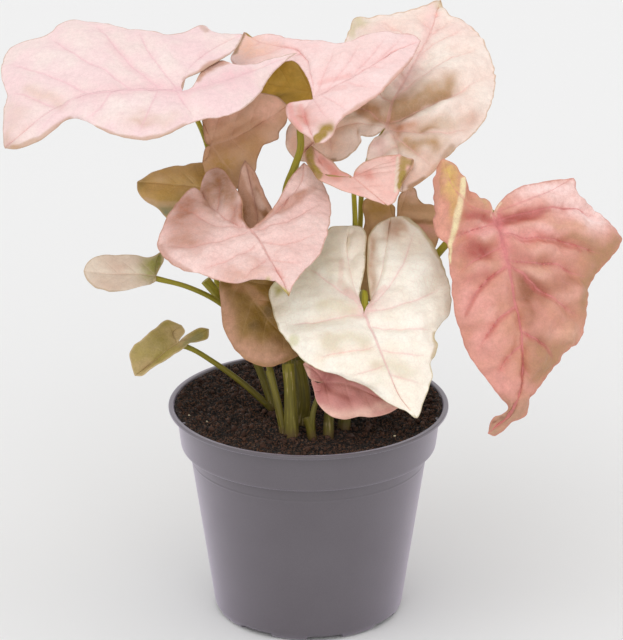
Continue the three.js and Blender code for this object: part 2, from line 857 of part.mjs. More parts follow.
// The middle surface of a blade: shared points and triangles that face the eye.
function bladeSheet(blade) {
  const grid = blade.fine ? FINE : PLAIN;
  const at = (spot) => bladePoint(blade, spot);
  const joint = at(blade.joint);
  const tip = at(blade.tip);
  const rib = smoothThrough([joint, ...blade.rib.map(at), tip]).getSpacedPoints(grid.ribSteps);
  const points = [...rib];
  const triangles = [];
  const ribIndex = rib.map((point, i) => i);
  const tipIndex = grid.ribSteps;

  function addRow(from, fromIndex, to, columns, swell) {
    const row = [fromIndex];
    for (let j = 1; j <= columns; j++) {
      const share = j / columns;
      const point = from.clone().lerp(to, share);
      point.addScaledVector(TOWARD, swell(share));
      row.push(points.push(point) - 1);
    }
    return row;
  }

  function join(rowA, rowB, flipped) {
    for (let j = 0; j + 1 < rowA.length; j++) {
      const [a, b, c, d] = [rowA[j], rowB[j], rowB[j + 1], rowA[j + 1]];
      for (const [p, q, r] of [[a, b, c], [a, c, d]]) {
        if (p !== q && q !== r && r !== p) triangles.push(flipped ? [p, r, q] : [p, q, r]);
      }
    }
  }

  for (const [half, flipped] of [[blade.left, false], [blade.right, true]]) {
    const lobe = at(half.lobe);
    const vein = smoothThrough([joint, ...half.vein.map(at), lobe]);
    const inner = smoothThrough([joint, ...half.inner.map(at), lobe]);
    const outer = smoothThrough([lobe, ...half.outer.map(at), tip]);
    const veinPoints = vein.getSpacedPoints(grid.veinSteps);
    const innerPoints = inner.getSpacedPoints(grid.veinSteps);
    const rows = grid.veinSteps + grid.ribSteps;
    const outerPoints = Array.from({ length: rows + 1 }, (_, i) =>
      outer.getPointAt((i / rows) ** (half.lead ?? 1)),
    );

    const veinIndex = veinPoints.map((point, i) => (i === 0 ? 0 : points.push(point) - 1));
    const lobeIndex = veinIndex[grid.veinSteps];

    let before = new Array(grid.innerColumns + 1).fill(0);
    for (let i = 1; i <= grid.veinSteps; i++) {
      const last = i === grid.veinSteps;
      const row = last
        ? new Array(grid.innerColumns + 1).fill(lobeIndex)
        : addRow(veinPoints[i], veinIndex[i], innerPoints[i], grid.innerColumns, () => 0);
      join(before, row, flipped);
      before = row;
    }

    before = new Array(grid.outerColumns + 1).fill(lobeIndex);
    for (let i = 1; i <= rows; i++) {
      const onVein = i <= grid.veinSteps;
      const base = onVein ? veinPoints[grid.veinSteps - i] : rib[i - grid.veinSteps];
      const baseIndex = onVein ? veinIndex[grid.veinSteps - i] : ribIndex[i - grid.veinSteps];
      const along = i / rows;
      const body = Math.sin(Math.PI * along);
      const ripple = blade.wave * Math.sin(grid.waves * Math.PI * along);
      const swell = (share) =>
        body *
        (blade.dome * Math.sin(Math.PI * share) + blade.fold * share + ripple * share * share);
      const row =
        i === rows
          ? new Array(grid.outerColumns + 1).fill(tipIndex)
          : addRow(base, baseIndex, outerPoints[i], grid.outerColumns, swell);
      join(before, row, flipped);
      before = row;
    }
  }
  return { points, triangles, joint };
}

function sheetNormals({ points, triangles }) {
  const normals = points.map(() => new THREE.Vector3());
  for (const [a, b, c] of triangles) {
    const ab = points[b].clone().sub(points[a]);
    const ac = points[c].clone().sub(points[a]);
    const area = ab.cross(ac);
    for (const i of [a, b, c]) normals[i].add(area);
  }
  return normals.map((normal) => normal.normalize());
}

// A closed plate round a sheet: both faces are split alike and a rim joins them.
function plate(sheet, thickness) {
  const { points, triangles } = sheet;
  const normals = sheetNormals(sheet);
  const count = points.length;
  const positions = new Float32Array(count * 6);
  points.forEach((point, i) => {
    const upper = point.clone().addScaledVector(normals[i], thickness / 2);
    const under = point.clone().addScaledVector(normals[i], -thickness / 2);
    positions.set(upper.toArray(), i * 3);
    positions.set(under.toArray(), (i + count) * 3);
  });
  const index = [];
  const edges = new Set();
  for (const [a, b, c] of triangles) {
    index.push(a, b, c, a + count, c + count, b + count);
    for (const [p, q] of [[a, b], [b, c], [c, a]]) edges.add(p * count + q);
  }
  for (const edge of edges) {
    const p = Math.floor(edge / count);
    const q = edge % count;
    if (!edges.has(q * count + p)) index.push(q, p, p + count, q, p + count, q + count);
  }
  const geometry = new THREE.BufferGeometry();
  geometry.setAttribute("position", new THREE.BufferAttribute(positions, 3));
  geometry.setIndex(index);
  geometry.computeVertexNormals();
  return geometry;
}

// Stalks and sheaths.

function soilHeight(x, y) {
  const out = Math.min(1, Math.hypot(x, y) / LIP_INNER_RADIUS);
  const lumps = Math.sin(x * 0.31 + 1) * Math.cos(y * 0.27) + Math.sin((x + y) * 0.53) * 0.5;
  const flatRim = 1 - out ** 6;
  return POT_HEIGHT - SOIL_DROP + (SOIL_CROWN * (1 - out * out) + SOIL_LUMP * lumps) * flatRim;
}

// A closed tapering tube along a smooth curve.
function stalkGeometry(path, startRadius, endRadius) {
  const curve = smoothThrough(path);
  const steps = Math.max(3, Math.round(curve.getLength() / STALK_STEP));
  const frames = curve.computeFrenetFrames(steps, false);
  const centres = curve.getSpacedPoints(steps);
  const positions = [];
  const index = [];
  centres.forEach((centre, i) => {
    const radius = THREE.MathUtils.lerp(startRadius, endRadius, Math.sqrt(i / steps));
    for (let k = 0; k < STALK_SIDES; k++) {
      const angle = (2 * Math.PI * k) / STALK_SIDES;
      const point = centre
        .clone()
        .addScaledVector(frames.normals[i], radius * Math.cos(angle))
        .addScaledVector(frames.binormals[i], radius * Math.sin(angle));
      positions.push(...point.toArray());
    }
  });
  const startCentre = positions.length / 3;
  positions.push(...centres[0].toArray(), ...centres[steps].toArray());
  for (let k = 0; k < STALK_SIDES; k++) {
    const next = (k + 1) % STALK_SIDES;
    for (let i = 0; i < steps; i++) {
      const a = i * STALK_SIDES + k;
      const b = i * STALK_SIDES + next;
      index.push(a, b, b + STALK_SIDES, a, b + STALK_SIDES, a + STALK_SIDES);
    }
    const last = steps * STALK_SIDES;
    index.push(startCentre, next, k, startCentre + 1, last + k, last + next);
  }
  const geometry = new THREE.BufferGeometry();
  geometry.setAttribute("position", new THREE.Float32BufferAttribute(positions, 3));
  geometry.setIndex(index);
  return geometry;
}

function footOf({ x, y }) {
  const top = soilHeight(x, y);
  return [new THREE.Vector3(x, y, top - ROOT_DEPTH), new THREE.Vector3(x, y, top)];
}

// The end of a stalk that comes from `before`: CLEARANCE below the blade's joint, counting the
// share of its own radius by which its flat end leans towards the blade.
function stalkEnd(sheet, before, tip) {
  const normal = sheetNormals(sheet)[0];
  const square = sheet.joint.clone().sub(before).normalize().dot(normal);
  const lean = Math.sqrt(1 - square * square);
  const below = BLADE_THICKNESS / 2 + CLEARANCE + tip * lean;
  return sheet.joint.clone().addScaledVector(normal, -below);
}

function shootGeometry(shoot, sheets) {
  const pieces = shoot.sheaths.map(({ foot, via, radius, tip }) => {
    const path = [...footOf(shoot.feet[foot]), ...via.map((spot) => sight(...spot))];
    return solidFrom(stalkGeometry(path, radius, tip));
  });
  for (const { leaf, foot, via, tip = STALK_TIP_RADIUS } of shoot.stalks) {
    const path = [...footOf(shoot.feet[foot]), ...via.map((spot) => sight(...spot))];
    path.push(stalkEnd(sheets.get(leaf), path[path.length - 1], tip));
    pieces.push(solidFrom(stalkGeometry(path, STALK_RADIUS, tip)));
  }
  return geometryFrom(pieces.reduce((whole, piece) => whole.add(piece)));
}

// Soil.

function soilGeometry() {
  const gap = CLEARANCE;
  const rim = POT_HEIGHT - SOIL_DROP;
  const collarInner = COLLAR_FOOT_RADIUS - POT_WALL;
  const wallRise = POT_HEIGHT - 0.4 - (COLLAR_FOOT + POT_WALL);
  const rimShare = (rim - COLLAR_FOOT - POT_WALL) / wallRise;
  const rimRadius = THREE.MathUtils.lerp(collarInner, LIP_INNER_RADIUS, rimShare) - gap;
  const rings = [];
  for (let i = 1; i <= SOIL_RINGS; i++) rings.push([(rimRadius * i) / SOIL_RINGS, null]);
  rings.push([collarInner - gap, COLLAR_FOOT + POT_WALL + gap]);
  rings.push([BODY_TOP_RADIUS - POT_WALL - gap, COLLAR_FOOT - POT_WALL + gap]);
  rings.push([BODY_FOOT_RADIUS - POT_WALL - gap, FLOOR_TOP + gap]);

  const positions = [0, 0, soilHeight(0, 0)];
  for (const [radius, height] of rings) {
    for (let k = 0; k < SOIL_SECTORS; k++) {
      const angle = (2 * Math.PI * k) / SOIL_SECTORS;
      const x = radius * Math.cos(angle);
      const y = radius * Math.sin(angle);
      positions.push(x, y, height ?? soilHeight(x, y));
    }
  }
  const bottom = positions.length / 3;
  positions.push(0, 0, FLOOR_TOP + gap);
  const index = [];
  for (let k = 0; k < SOIL_SECTORS; k++) {
    const next = (k + 1) % SOIL_SECTORS;
    index.push(0, 1 + k, 1 + next);
    for (let i = 0; i + 1 < rings.length; i++) {
      const a = 1 + i * SOIL_SECTORS;
      const b = a + SOIL_SECTORS;
      index.push(a + k, b + k, b + next, a + k, b + next, a + next);
    }
    const last = 1 + (rings.length - 1) * SOIL_SECTORS;
    index.push(bottom, last + next, last + k);
  }
  const geometry = new THREE.BufferGeometry();
  geometry.setAttribute("position", new THREE.Float32BufferAttribute(positions, 3));
  geometry.setIndex(index);
  return geometry;
}

function soil() {
  let solid = solidFrom(soilGeometry());
  for (const shoot of SHOOTS) {
    for (const { x, y, radius } of shoot.feet) {
      const top = soilHeight(x, y);
      const hole = upright(radius + 2 * CLEARANCE, top - ROOT_DEPTH - 1, top + 8, x, y);
      solid = solid.subtract(solidFrom(hole));
    }
  }
  return geometryFrom(solid);
}

// Assembly.

const plant = new THREE.Group();

function add(name, geometry, color, roughness) {
  const material = new THREE.MeshStandardMaterial({ color, roughness, metalness: 0 });
  const mesh = new THREE.Mesh(geometry, material);
  mesh.name = name;
  plant.add(mesh);
}

const sheets = new Map(BLADES.map((blade) => [blade.name, bladeSheet(blade)]));

add("pot", pot(), 0x7d7b83, 0.55);
add("soil", soil(), 0x2a211c, 0.95);
for (const shoot of SHOOTS) add(shoot.name, shootGeometry(shoot, sheets), 0x8a9440, 0.5);
for (const blade of BLADES) {
  add(blade.name, plate(sheets.get(blade.name), BLADE_THICKNESS), blade.colour, 0.5);
}

export default plant;
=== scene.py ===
"""Arrowhead plant with pink, cream and bronze leaves, growing in a grey nursery pot.

The construction comes packed as a frame of plain solids, in metres. Each section makes one piece,
or a group of like pieces, and lays it over the solids that it stands for.
"""

import math

import bpy
import numpy as np
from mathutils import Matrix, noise


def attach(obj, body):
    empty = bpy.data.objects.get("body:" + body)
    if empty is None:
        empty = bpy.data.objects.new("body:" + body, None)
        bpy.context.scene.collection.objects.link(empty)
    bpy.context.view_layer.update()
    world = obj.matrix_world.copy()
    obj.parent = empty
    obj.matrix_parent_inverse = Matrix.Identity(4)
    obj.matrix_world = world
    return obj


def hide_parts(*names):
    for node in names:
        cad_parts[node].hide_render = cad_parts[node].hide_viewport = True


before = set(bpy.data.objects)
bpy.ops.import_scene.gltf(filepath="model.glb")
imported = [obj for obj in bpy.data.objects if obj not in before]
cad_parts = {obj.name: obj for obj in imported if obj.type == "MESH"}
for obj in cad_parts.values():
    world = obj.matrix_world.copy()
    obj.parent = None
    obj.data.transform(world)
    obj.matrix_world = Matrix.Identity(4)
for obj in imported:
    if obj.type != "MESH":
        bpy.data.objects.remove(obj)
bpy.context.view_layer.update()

# ---- Pot ----
# A thin nursery pot, moulded in one piece from grey polypropylene: a flat lip, a collar, a tapered
# body on foot tabs, and drain holes in the floor. Its skin is matt, with the tool's fine grain.

MM = 0.001
POT_HEIGHT = 94.0
COLLAR_FOOT = 76.1
LIP_FOOT = 92.5
LIP_INNER_RADIUS = 57.9
LEDGE_HEIGHT = 92.85
WALL_TOP_RADIUS = 55.7
COLLAR_FOOT_RADIUS = 54.8
BODY_TOP_RADIUS = 51.5
BODY_FOOT_RADIUS = 40.8
POT_WALL = 1.2
FOOT_HEIGHT = 2.5
FOOT_INNER_RADIUS = 34.0
FOOT_COUNT = 8
FOOT_EDGE = 0.024
FIRST_FOOT_ANGLE = math.radians(-102.0)
FLOOR_TOP = FOOT_HEIGHT + POT_WALL
DRAIN_RADIUS = 3.0
DRAIN_CIRCLE = 24.0
DRAIN_SIDES = 48
POT_SECTORS = 256

# Corners of the pot's section: radius, height and how far the corner is rounded.
POT_SECTION = [
    (0.0, 0.0, 0.0),
    (8.0, 0.0, 0.3),
    (8.6, FOOT_HEIGHT, 0.3),
    (FOOT_INNER_RADIUS - 0.3, FOOT_HEIGHT, 0.3),
    (FOOT_INNER_RADIUS, 0.0, 0.2),
    (38.0, 0.0, 0.5),
    (40.0, 1.1, 0.7),
    (BODY_FOOT_RADIUS, 3.2, 0.8),
    (50.4, 69.2, 0.3),
    (50.58, 69.8, 0.3),
    (50.5, 70.4, 0.3),
    (51.15, 73.9, 0.2),
    (BODY_TOP_RADIUS, COLLAR_FOOT, 0.25),
    (COLLAR_FOOT_RADIUS - 0.2, COLLAR_FOOT, 0.45),
    (COLLAR_FOOT_RADIUS + 0.1, COLLAR_FOOT + 1.2, 0.4),
    (56.7, LIP_FOOT, 0.5),
    (60.0, LIP_FOOT, 0.55),
    (60.0, POT_HEIGHT, 0.6),
    (LIP_INNER_RADIUS, POT_HEIGHT, 0.5),
    (LIP_INNER_RADIUS - 0.3, LEDGE_HEIGHT, 0.2),
    (WALL_TOP_RADIUS, LEDGE_HEIGHT, 0.3),
    (COLLAR_FOOT_RADIUS - POT_WALL, COLLAR_FOOT + POT_WALL, 0.5),
    (BODY_TOP_RADIUS - POT_WALL, COLLAR_FOOT - POT_WALL, 0.5),
    (BODY_FOOT_RADIUS - POT_WALL, FLOOR_TOP, 0.8),
    (0.0, FLOOR_TOP, 0.0),
]
ROUNDING_STEPS = 4


def paint(code):
    """The linear colour of a hexadecimal sRGB code."""
    channels = [(code >> shift & 255) / 255 for shift in (16, 8, 0)]
    linear = [c / 12.92 if c <= 0.04045 else ((c + 0.055) / 1.055) ** 2.4 for c in channels]
    return (*linear, 1.0)


class Shade:
    """An output socket of a finish. Arithmetic on it adds Math nodes."""

    def __init__(self, finish, socket):
        self.finish = finish
        self.socket = socket

    def _math(self, operation, first, second=0.0):
        return self.finish.node("ShaderNodeMath", {"operation": operation}, {0: first, 1: second})

    def __add__(self, other):
        return self._math("ADD", self, other)

    __radd__ = __add__

    def __sub__(self, other):
        return self._math("SUBTRACT", self, other)

    def __rsub__(self, other):
        return self._math("SUBTRACT", other, self)

    def __mul__(self, other):
        return self._math("MULTIPLY", self, other)

    __rmul__ = __mul__

    def __abs__(self):
        return self._math("ABSOLUTE", self)

    def part(self):
        """What is left over whole numbers."""
        return self._math("FRACT", self)


class Finish:
    """A material of one Principled surface. Constants are set on its own sockets."""

    def __init__(self, name, **constants):
        self.material = bpy.data.materials.new(name)
        self.material.use_nodes = True
        self.tree = self.material.node_tree
        self.surface = next(n for n in self.tree.nodes if n.type == "BSDF_PRINCIPLED")
        for label, value in constants.items():
            self.surface.inputs[label.replace("_", " ")].default_value = value

    def node(self, kind, settings=None, inputs=None, output=0):
        """Adds a node of a kind: its settings first, then a value or a Shade for each input."""
        made = self.tree.nodes.new(kind)
        for label, value in (settings or {}).items():
            setattr(made, label, value)
        for label, value in (inputs or {}).items():
            if isinstance(value, Shade):
                self.tree.links.new(value.socket, made.inputs[label])
            else:
                made.inputs[label].default_value = value
        return Shade(self, made.outputs[output])

    def feed(self, label, shade):
        self.tree.links.new(shade.socket, self.surface.inputs[label])

    def mark(self, name):
        """A number that the mesh holds for each of its points."""
        return self.node("ShaderNodeAttribute", {"attribute_name": name}, output="Fac")

    def place(self):
        return self.node("ShaderNodeTexCoord", output="Object")

    def cloud(self, size, detail=2.0, where=None):
        """Soft noise from 0 to 1, with features of a size in millimetres."""
        inputs = {"Vector": where or self.place(), "Scale": 1 / (size * MM), "Detail": detail}
        return self.node("ShaderNodeTexNoise", {"noise_dimensions": "3D"}, inputs)

    def rise(self, value, low, high):
        """0 where the value is below low, 1 where it is above high, smooth between them."""
        settings = {"interpolation_type": "SMOOTHSTEP"}
        if low < high:
            return self.node("ShaderNodeMapRange", settings, {0: value, 1: low, 2: high})
        return 1.0 - self.node("ShaderNodeMapRange", settings, {0: value, 1: high, 2: low})

    def mix(self, share, first, second):
        """A colour between two others."""
        settings = {"data_type": "RGBA", "clamp_factor": True}
        return self.node("ShaderNodeMix", settings, {0: share, 6: first, 7: second}, output=2)

    def shaded(self, colour, light):
        """A colour made lighter or darker by a number round 1."""
        inputs = {0: colour, "Scale": light}
        return self.node("ShaderNodeVectorMath", {"operation": "SCALE"}, inputs)

    def bump(self, height, depth):
        """Small relief for Normal: a height from 0 to 1, whose depth is in millimetres."""
        inputs = {"Height": height, "Strength": 1.0, "Distance": depth * MM}
        return self.node("ShaderNodeBump", inputs=inputs)


def new_piece(name, points, faces, marks=None, sharp=None):
    """A piece from points in millimetres. Marks hold one number per point."""
    mesh = bpy.data.meshes.new(name)
    mesh.from_pydata((np.asarray(points, dtype=float) * MM).tolist(), [], faces)
    for mark, values in (marks or {}).items():
        layer = mesh.attributes.new(mark, "FLOAT", "POINT")
        layer.data.foreach_set("value", np.asarray(values, dtype=np.float32))
    mesh.shade_smooth()
    if sharp:
        mesh.set_sharp_from_angle(angle=math.radians(sharp))
    piece = bpy.data.objects.new(name, mesh)
    bpy.context.scene.collection.objects.link(piece)
    return piece


def dress(piece, finish, slot, *nodes):
    """Gives a piece its finish, and lets it stand for the nodes."""
    piece.data.materials.clear()
    piece.data.materials.append(finish.material)
    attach(piece, "root")
    if nodes:
        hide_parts(*nodes)


def rounded(section):
    """A section's points, with each corner rounded by a short curve."""
    corners = np.array([(radius, height) for radius, height, _ in section])
    points = [corners[0]]
    for i in range(1, len(corners) - 1):
        before, corner, after = corners[i - 1 : i + 2]
        cut = section[i][2]
        start = corner + (before - corner) * min(0.45, cut / np.linalg.norm(before - corner))
        end = corner + (after - corner) * min(0.45, cut / np.linalg.norm(after - corner))
        for step in range(ROUNDING_STEPS + 1):
            t = step / ROUNDING_STEPS
            points.append((1 - t) ** 2 * start + 2 * t * (1 - t) * corner + t * t * end)
    points.append(corners[-1])
    return np.array(points)


def turned(section, sectors):
    """Points and faces of a section turned round the upright axis. Its ends lie on the axis."""
    angles = np.arange(sectors) * 2 * math.pi / sectors
    rings = section[1:-1]
    points = [(0.0, 0.0, section[0][1])]
    for radius, height in rings:
        ring = np.stack([radius * np.cos(angles), radius * np.sin(angles)], axis=1)
        points.extend((x, y, height) for x, y in ring)
    points.append((0.0, 0.0, section[-1][1]))
    top = len(points) - 1
    faces = []
    for k in range(sectors):
        after = (k + 1) % sectors
        faces.append((0, 1 + after, 1 + k))
        for i in range(len(rings) - 1):
            low = 1 + i * sectors
            faces.append((low + k, low + after, low + sectors + after, low + sectors + k))
        last = 1 + (len(rings) - 1) * sectors
        faces.append((last + k, last + after, top))
    return np.array(points), faces


# The ring of the foot is raised between the tabs, to just under the floor.
pot_points, pot_faces = turned(rounded(POT_SECTION), POT_SECTORS)
tab_pitch = 2 * math.pi / FOOT_COUNT
round_pot = np.arctan2(pot_points[:, 1], pot_points[:, 0]) - FIRST_FOOT_ANGLE
off_tab = np.abs((round_pot / tab_pitch + 0.5) % 1 - 0.5) * tab_pitch
between_tabs = np.clip((off_tab - tab_pitch / 4 + FOOT_EDGE / 2) / FOOT_EDGE, 0, 1)
out_from_axis = np.hypot(pot_points[:, 0], pot_points[:, 1])
on_foot = (out_from_axis > FOOT_INNER_RADIUS - 1) & (pot_points[:, 2] < FOOT_HEIGHT)
notch_roof = FOOT_HEIGHT - 0.05 + 0.02 * pot_points[:, 2]
lifted = np.maximum(pot_points[:, 2], notch_roof)
pot_points[:, 2] += np.where(on_foot, between_tabs * (lifted - pot_points[:, 2]), 0)
nursery_pot = new_piece("nursery_pot", pot_points, pot_faces)


def pierce(piece, centres, radius, bottom, top):
    """Drills upright holes through a piece."""
    sides = DRAIN_SIDES
    points, faces = [], []
    for x, y in centres:
        start = len(points)
        for height in (bottom, top):
            for k in range(sides):
                angle = 2 * math.pi * k / sides
                points.append((x + radius * math.cos(angle), y + radius * math.sin(angle), height))
        faces.append([start + k for k in reversed(range(sides))])
        faces.append([start + sides + k for k in range(sides)])
        for k in range(sides):
            after = (k + 1) % sides
            faces.append((start + k, start + after, start + sides + after, start + sides + k))
    drill = new_piece("drill", points, faces)
    cut = piece.modifiers.new("cut", "BOOLEAN")
    cut.object = drill
    cut.solver = "EXACT"
    seen = piece.evaluated_get(bpy.context.evaluated_depsgraph_get())
    drilled = bpy.data.meshes.new_from_object(seen)
    piece.modifiers.clear()
    piece.data = drilled
    bpy.data.objects.remove(drill)


drain_angles = FIRST_FOOT_ANGLE + tab_pitch * np.arange(FOOT_COUNT)
drains = [(DRAIN_CIRCLE * math.cos(a), DRAIN_CIRCLE * math.sin(a)) for a in drain_angles]
pierce(nursery_pot, drains, DRAIN_RADIUS, -1.0, FLOOR_TOP + 1.0)
nursery_pot.data.set_sharp_from_angle(angle=math.radians(50))

pot_finish = Finish(
    "grey_polypropylene", IOR=1.5, Coat_Roughness=0.28, Coat_IOR=1.7, Sheen_Weight=0.5
)
pot_finish.surface.inputs["Sheen Tint"].default_value = paint(0xF2E2FF)
grain = pot_finish.cloud(0.5, detail=3)
drift = pot_finish.cloud(26, detail=3)
pot_colour = pot_finish.mix(drift, paint(0x4A4348), paint(0x504A50))
pot_colour = pot_finish.mix(pot_finish.rise(grain, 0.35, 0.8) * 0.25, pot_colour, paint(0x645C64))
pot_finish.feed("Base Color", pot_colour)
pot_finish.feed("Roughness", 0.34 + 0.12 * pot_finish.cloud(9, detail=4))
pot_finish.feed("Coat Weight", 0.5 + 0.2 * drift)
pot_finish.feed("Normal", pot_finish.bump(grain, 0.05))
dress(nursery_pot, pot_finish, "pot", "pot")

# ---- Soil ----
# Dark peat compost, crumbly and moist, that fills the pot to just under its lip. It lies loose:
# crumbs, bits of bark and a few pale grains stand out of it.

SOIL_TOP = 92.0
SOIL_CROWN = 1.6
SOIL_LUMP = 0.7
SOIL_RADIUS = 57.4
BED_RADIUS = 55.5
RIM_RISE = 1.1
SOIL_RINGS = 104
SOIL_SECTORS = 560
SOIL_FOOT = 4.1
CRUMB_COUNT = 2200
PALE_TONE = 0.992
PALE_SIZE = 0.7
crumb_draw = np.random.default_rng(5)


def soil_height(x, y):
    """Height of the mound and its lumps at a place on the soil."""
    out = np.minimum(1, np.hypot(x, y) / BED_RADIUS)
    lumps = np.sin(x * 0.31 + 1) * np.cos(y * 0.27) + np.sin((x + y) * 0.53) * 0.5
    mound = (SOIL_CROWN * (1 - out * out) + SOIL_LUMP * lumps) * (1 - out**6)
    return SOIL_TOP + mound + RIM_RISE * out**10


def crumbs(x, y):
    """Height of the loose crumbs at a place on the soil."""
    coarse = noise.noise((x * 0.32, y * 0.32, 3.1))
    clod = 1 - abs(noise.noise((x * 0.8, y * 0.8, 7.7)))
    fine = noise.noise((x * 1.35, y * 1.35, 1.3))
    finest = noise.noise((x * 2.6, y * 2.6, 9.2))
    loose = 1.6 * coarse + 1.0 * (clod - 0.75) + 0.8 * fine + 0.4 * finest
    return loose * np.clip((SOIL_RADIUS + 2 - math.hypot(x, y)) / 6, 0.3, 1)


soil_points = [(0.0, 0.0, float(soil_height(0, 0)))]
for ring in range(1, SOIL_RINGS + 1):
    radius = SOIL_RADIUS * ring / SOIL_RINGS
    for k in range(SOIL_SECTORS):
        angle = 2 * math.pi * (k + 0.5 * (ring % 2)) / SOIL_SECTORS
        x, y = radius * math.cos(angle), radius * math.sin(angle)
        height = float(soil_height(x, y)) + crumbs(x, y)
        soil_points.append((x, y, min(height, POT_HEIGHT + 0.6)))
soil_faces = [(0, 1 + k, 1 + (k + 1) % SOIL_SECTORS) for k in range(SOIL_SECTORS)]
for ring in range(SOIL_RINGS - 1):
    inner = 1 + ring * SOIL_SECTORS
    for k in range(SOIL_SECTORS):
        after = (k + 1) % SOIL_SECTORS
        near = (inner + k, inner + SOIL_SECTORS + k)
        far = (inner + SOIL_SECTORS + after, inner + after)
        soil_faces.append((*near, *far))
skirt = [
    (55.4, LEDGE_HEIGHT),
    (COLLAR_FOOT_RADIUS - POT_WALL - 0.3, 78.0),
    (50.0, 74.6),
    (39.3, SOIL_FOOT),
]
rim_start = 1 + (SOIL_RINGS - 1) * SOIL_SECTORS
for radius, height in skirt:
    start = len(soil_points)
    for k in range(SOIL_SECTORS):
        angle = 2 * math.pi * k / SOIL_SECTORS
        soil_points.append((radius * math.cos(angle), radius * math.sin(angle), height))
    for k in range(SOIL_SECTORS):
        after = (k + 1) % SOIL_SECTORS
        soil_faces.append((rim_start + k, start + k, start + after, rim_start + after))
    rim_start = start
soil_points.append((0.0, 0.0, SOIL_FOOT))
base = len(soil_points) - 1
for k in range(SOIL_SECTORS):
    soil_faces.append((rim_start + (k + 1) % SOIL_SECTORS, rim_start + k, base))
compost = new_piece("compost", soil_points, soil_faces)

# A crumb is a rough lump of twelve corners.
CRUMB_FORM = [
    (0, 0, 1), (0.9, 0, 0.35), (0.28, 0.85, 0.4), (-0.72, 0.53, 0.45), (-0.7, -0.5, 0.3),
    (0.3, -0.86, 0.42), (0.72, 0.52, -0.4), (-0.3, 0.85, -0.4), (-0.9, 0, -0.4),
    (-0.26, -0.85, -0.4), (0.7, -0.5, -0.45), (0, 0, -1),
]
CRUMB_SIDES = [
    (0, 1, 2), (0, 2, 3), (0, 3, 4), (0, 4, 5), (0, 5, 1), (1, 6, 2), (2, 6, 7), (2, 7, 3),
    (3, 7, 8), (3, 8, 4), (4, 8, 9), (4, 9, 5), (5, 9, 10), (5, 10, 1), (1, 10, 6), (11, 7, 6),
    (11, 8, 7), (11, 9, 8), (11, 10, 9), (11, 6, 10),
]
crumb_points, crumb_faces, crumb_tones = [], [], []
for _ in range(CRUMB_COUNT):
    radius = (SOIL_RADIUS - 1.0) * math.sqrt(crumb_draw.random())
    angle = 2 * math.pi * crumb_draw.random()
    x, y = radius * math.cos(angle), radius * math.sin(angle)
    size = 0.3 + 1.2 * crumb_draw.random() ** 6
    turn = np.linalg.qr(crumb_draw.normal(size=(3, 3)))[0]
    if np.linalg.det(turn) < 0:
        turn[:, 0] *= -1
    form = np.array(CRUMB_FORM) * (1 + 0.25 * crumb_draw.normal(size=(len(CRUMB_FORM), 1)))
    form = form * (0.7 + 0.6 * crumb_draw.random(3)) @ turn.T * size
    centre = (x, y, float(soil_height(x, y)) + crumbs(x, y) + 0.25 * size)
    start = len(crumb_points)
    crumb_points.extend(form + centre)
    crumb_faces.extend((a + start, b + start, c + start) for a, b, c in CRUMB_SIDES)
    tone = crumb_draw.random()
    tone = 1.0 if tone > PALE_TONE and size < PALE_SIZE else 0.6 * tone**2
    crumb_tones.extend([tone] * len(CRUMB_FORM))
loose_crumbs = new_piece("compost_crumbs", crumb_points, crumb_faces, {"tone": crumb_tones})

peat = Finish("moist_peat")
speckle = peat.cloud(0.8, detail=4)
patch = peat.cloud(5, detail=3)
peat_colour = peat.mix(peat.rise(speckle, 0.46, 0.66), paint(0x050302), paint(0x68442E))
peat_colour = peat.mix(peat.rise(patch, 0.48, 0.7) * 0.8, peat_colour, paint(0x0E0806))
peat.feed("Base Color", peat_colour)
peat.feed("Roughness", 0.92 - 0.45 * peat.rise(peat.cloud(1.6), 0.5, 0.7))
peat.feed("Normal", peat.bump(peat.cloud(0.6, detail=4), 0.9))
dress(compost, peat, "soil", "soil")

grit = Finish("peat_crumbs")
tone = grit.mark("tone")
grit_colour = grit.mix(grit.cloud(0.7, detail=3), paint(0x0E0704), paint(0x4E2E1E))
grit_colour = grit.mix(tone * 0.9, grit_colour, paint(0x60402F))
grit_colour = grit.mix(grit.rise(tone, 0.6, 0.9), grit_colour, paint(0xD8C9A8))
grit.feed("Base Color", grit_colour)
grit.feed("Roughness", 0.9 - 0.45 * grit.rise(grit.cloud(2.2), 0.48, 0.72))
dress(loose_crumbs, grit, "soil")

# ---- Leaves ----
# Sixteen arrow-shaped blades, each with a rib from its stalk to its tip and a lobe on either side
# of the stalk. They are thin and soft, puckered between the side veins, with a fine hard edge.

EYE_DISTANCE = 1500.0
SIGHT_FALL = math.radians(20.65)
SHEET_STEP = 3 / 7
AXIS_COLUMN = 308.5
LIP_ROW = 402.5
SIGHT_COLUMN = 311.5
SIGHT_ROW = 320.0
RIGHT = np.array([1.0, 0.0, 0.0])
UPWARD = np.array([0.0, math.sin(SIGHT_FALL), math.cos(SIGHT_FALL)])
TOWARD = np.array([0.0, -math.cos(SIGHT_FALL), math.sin(SIGHT_FALL)])
ARCH_REACH = 50.0
LEAF_THICKNESS = 0.42
KEEL_DEPTH = 0.45

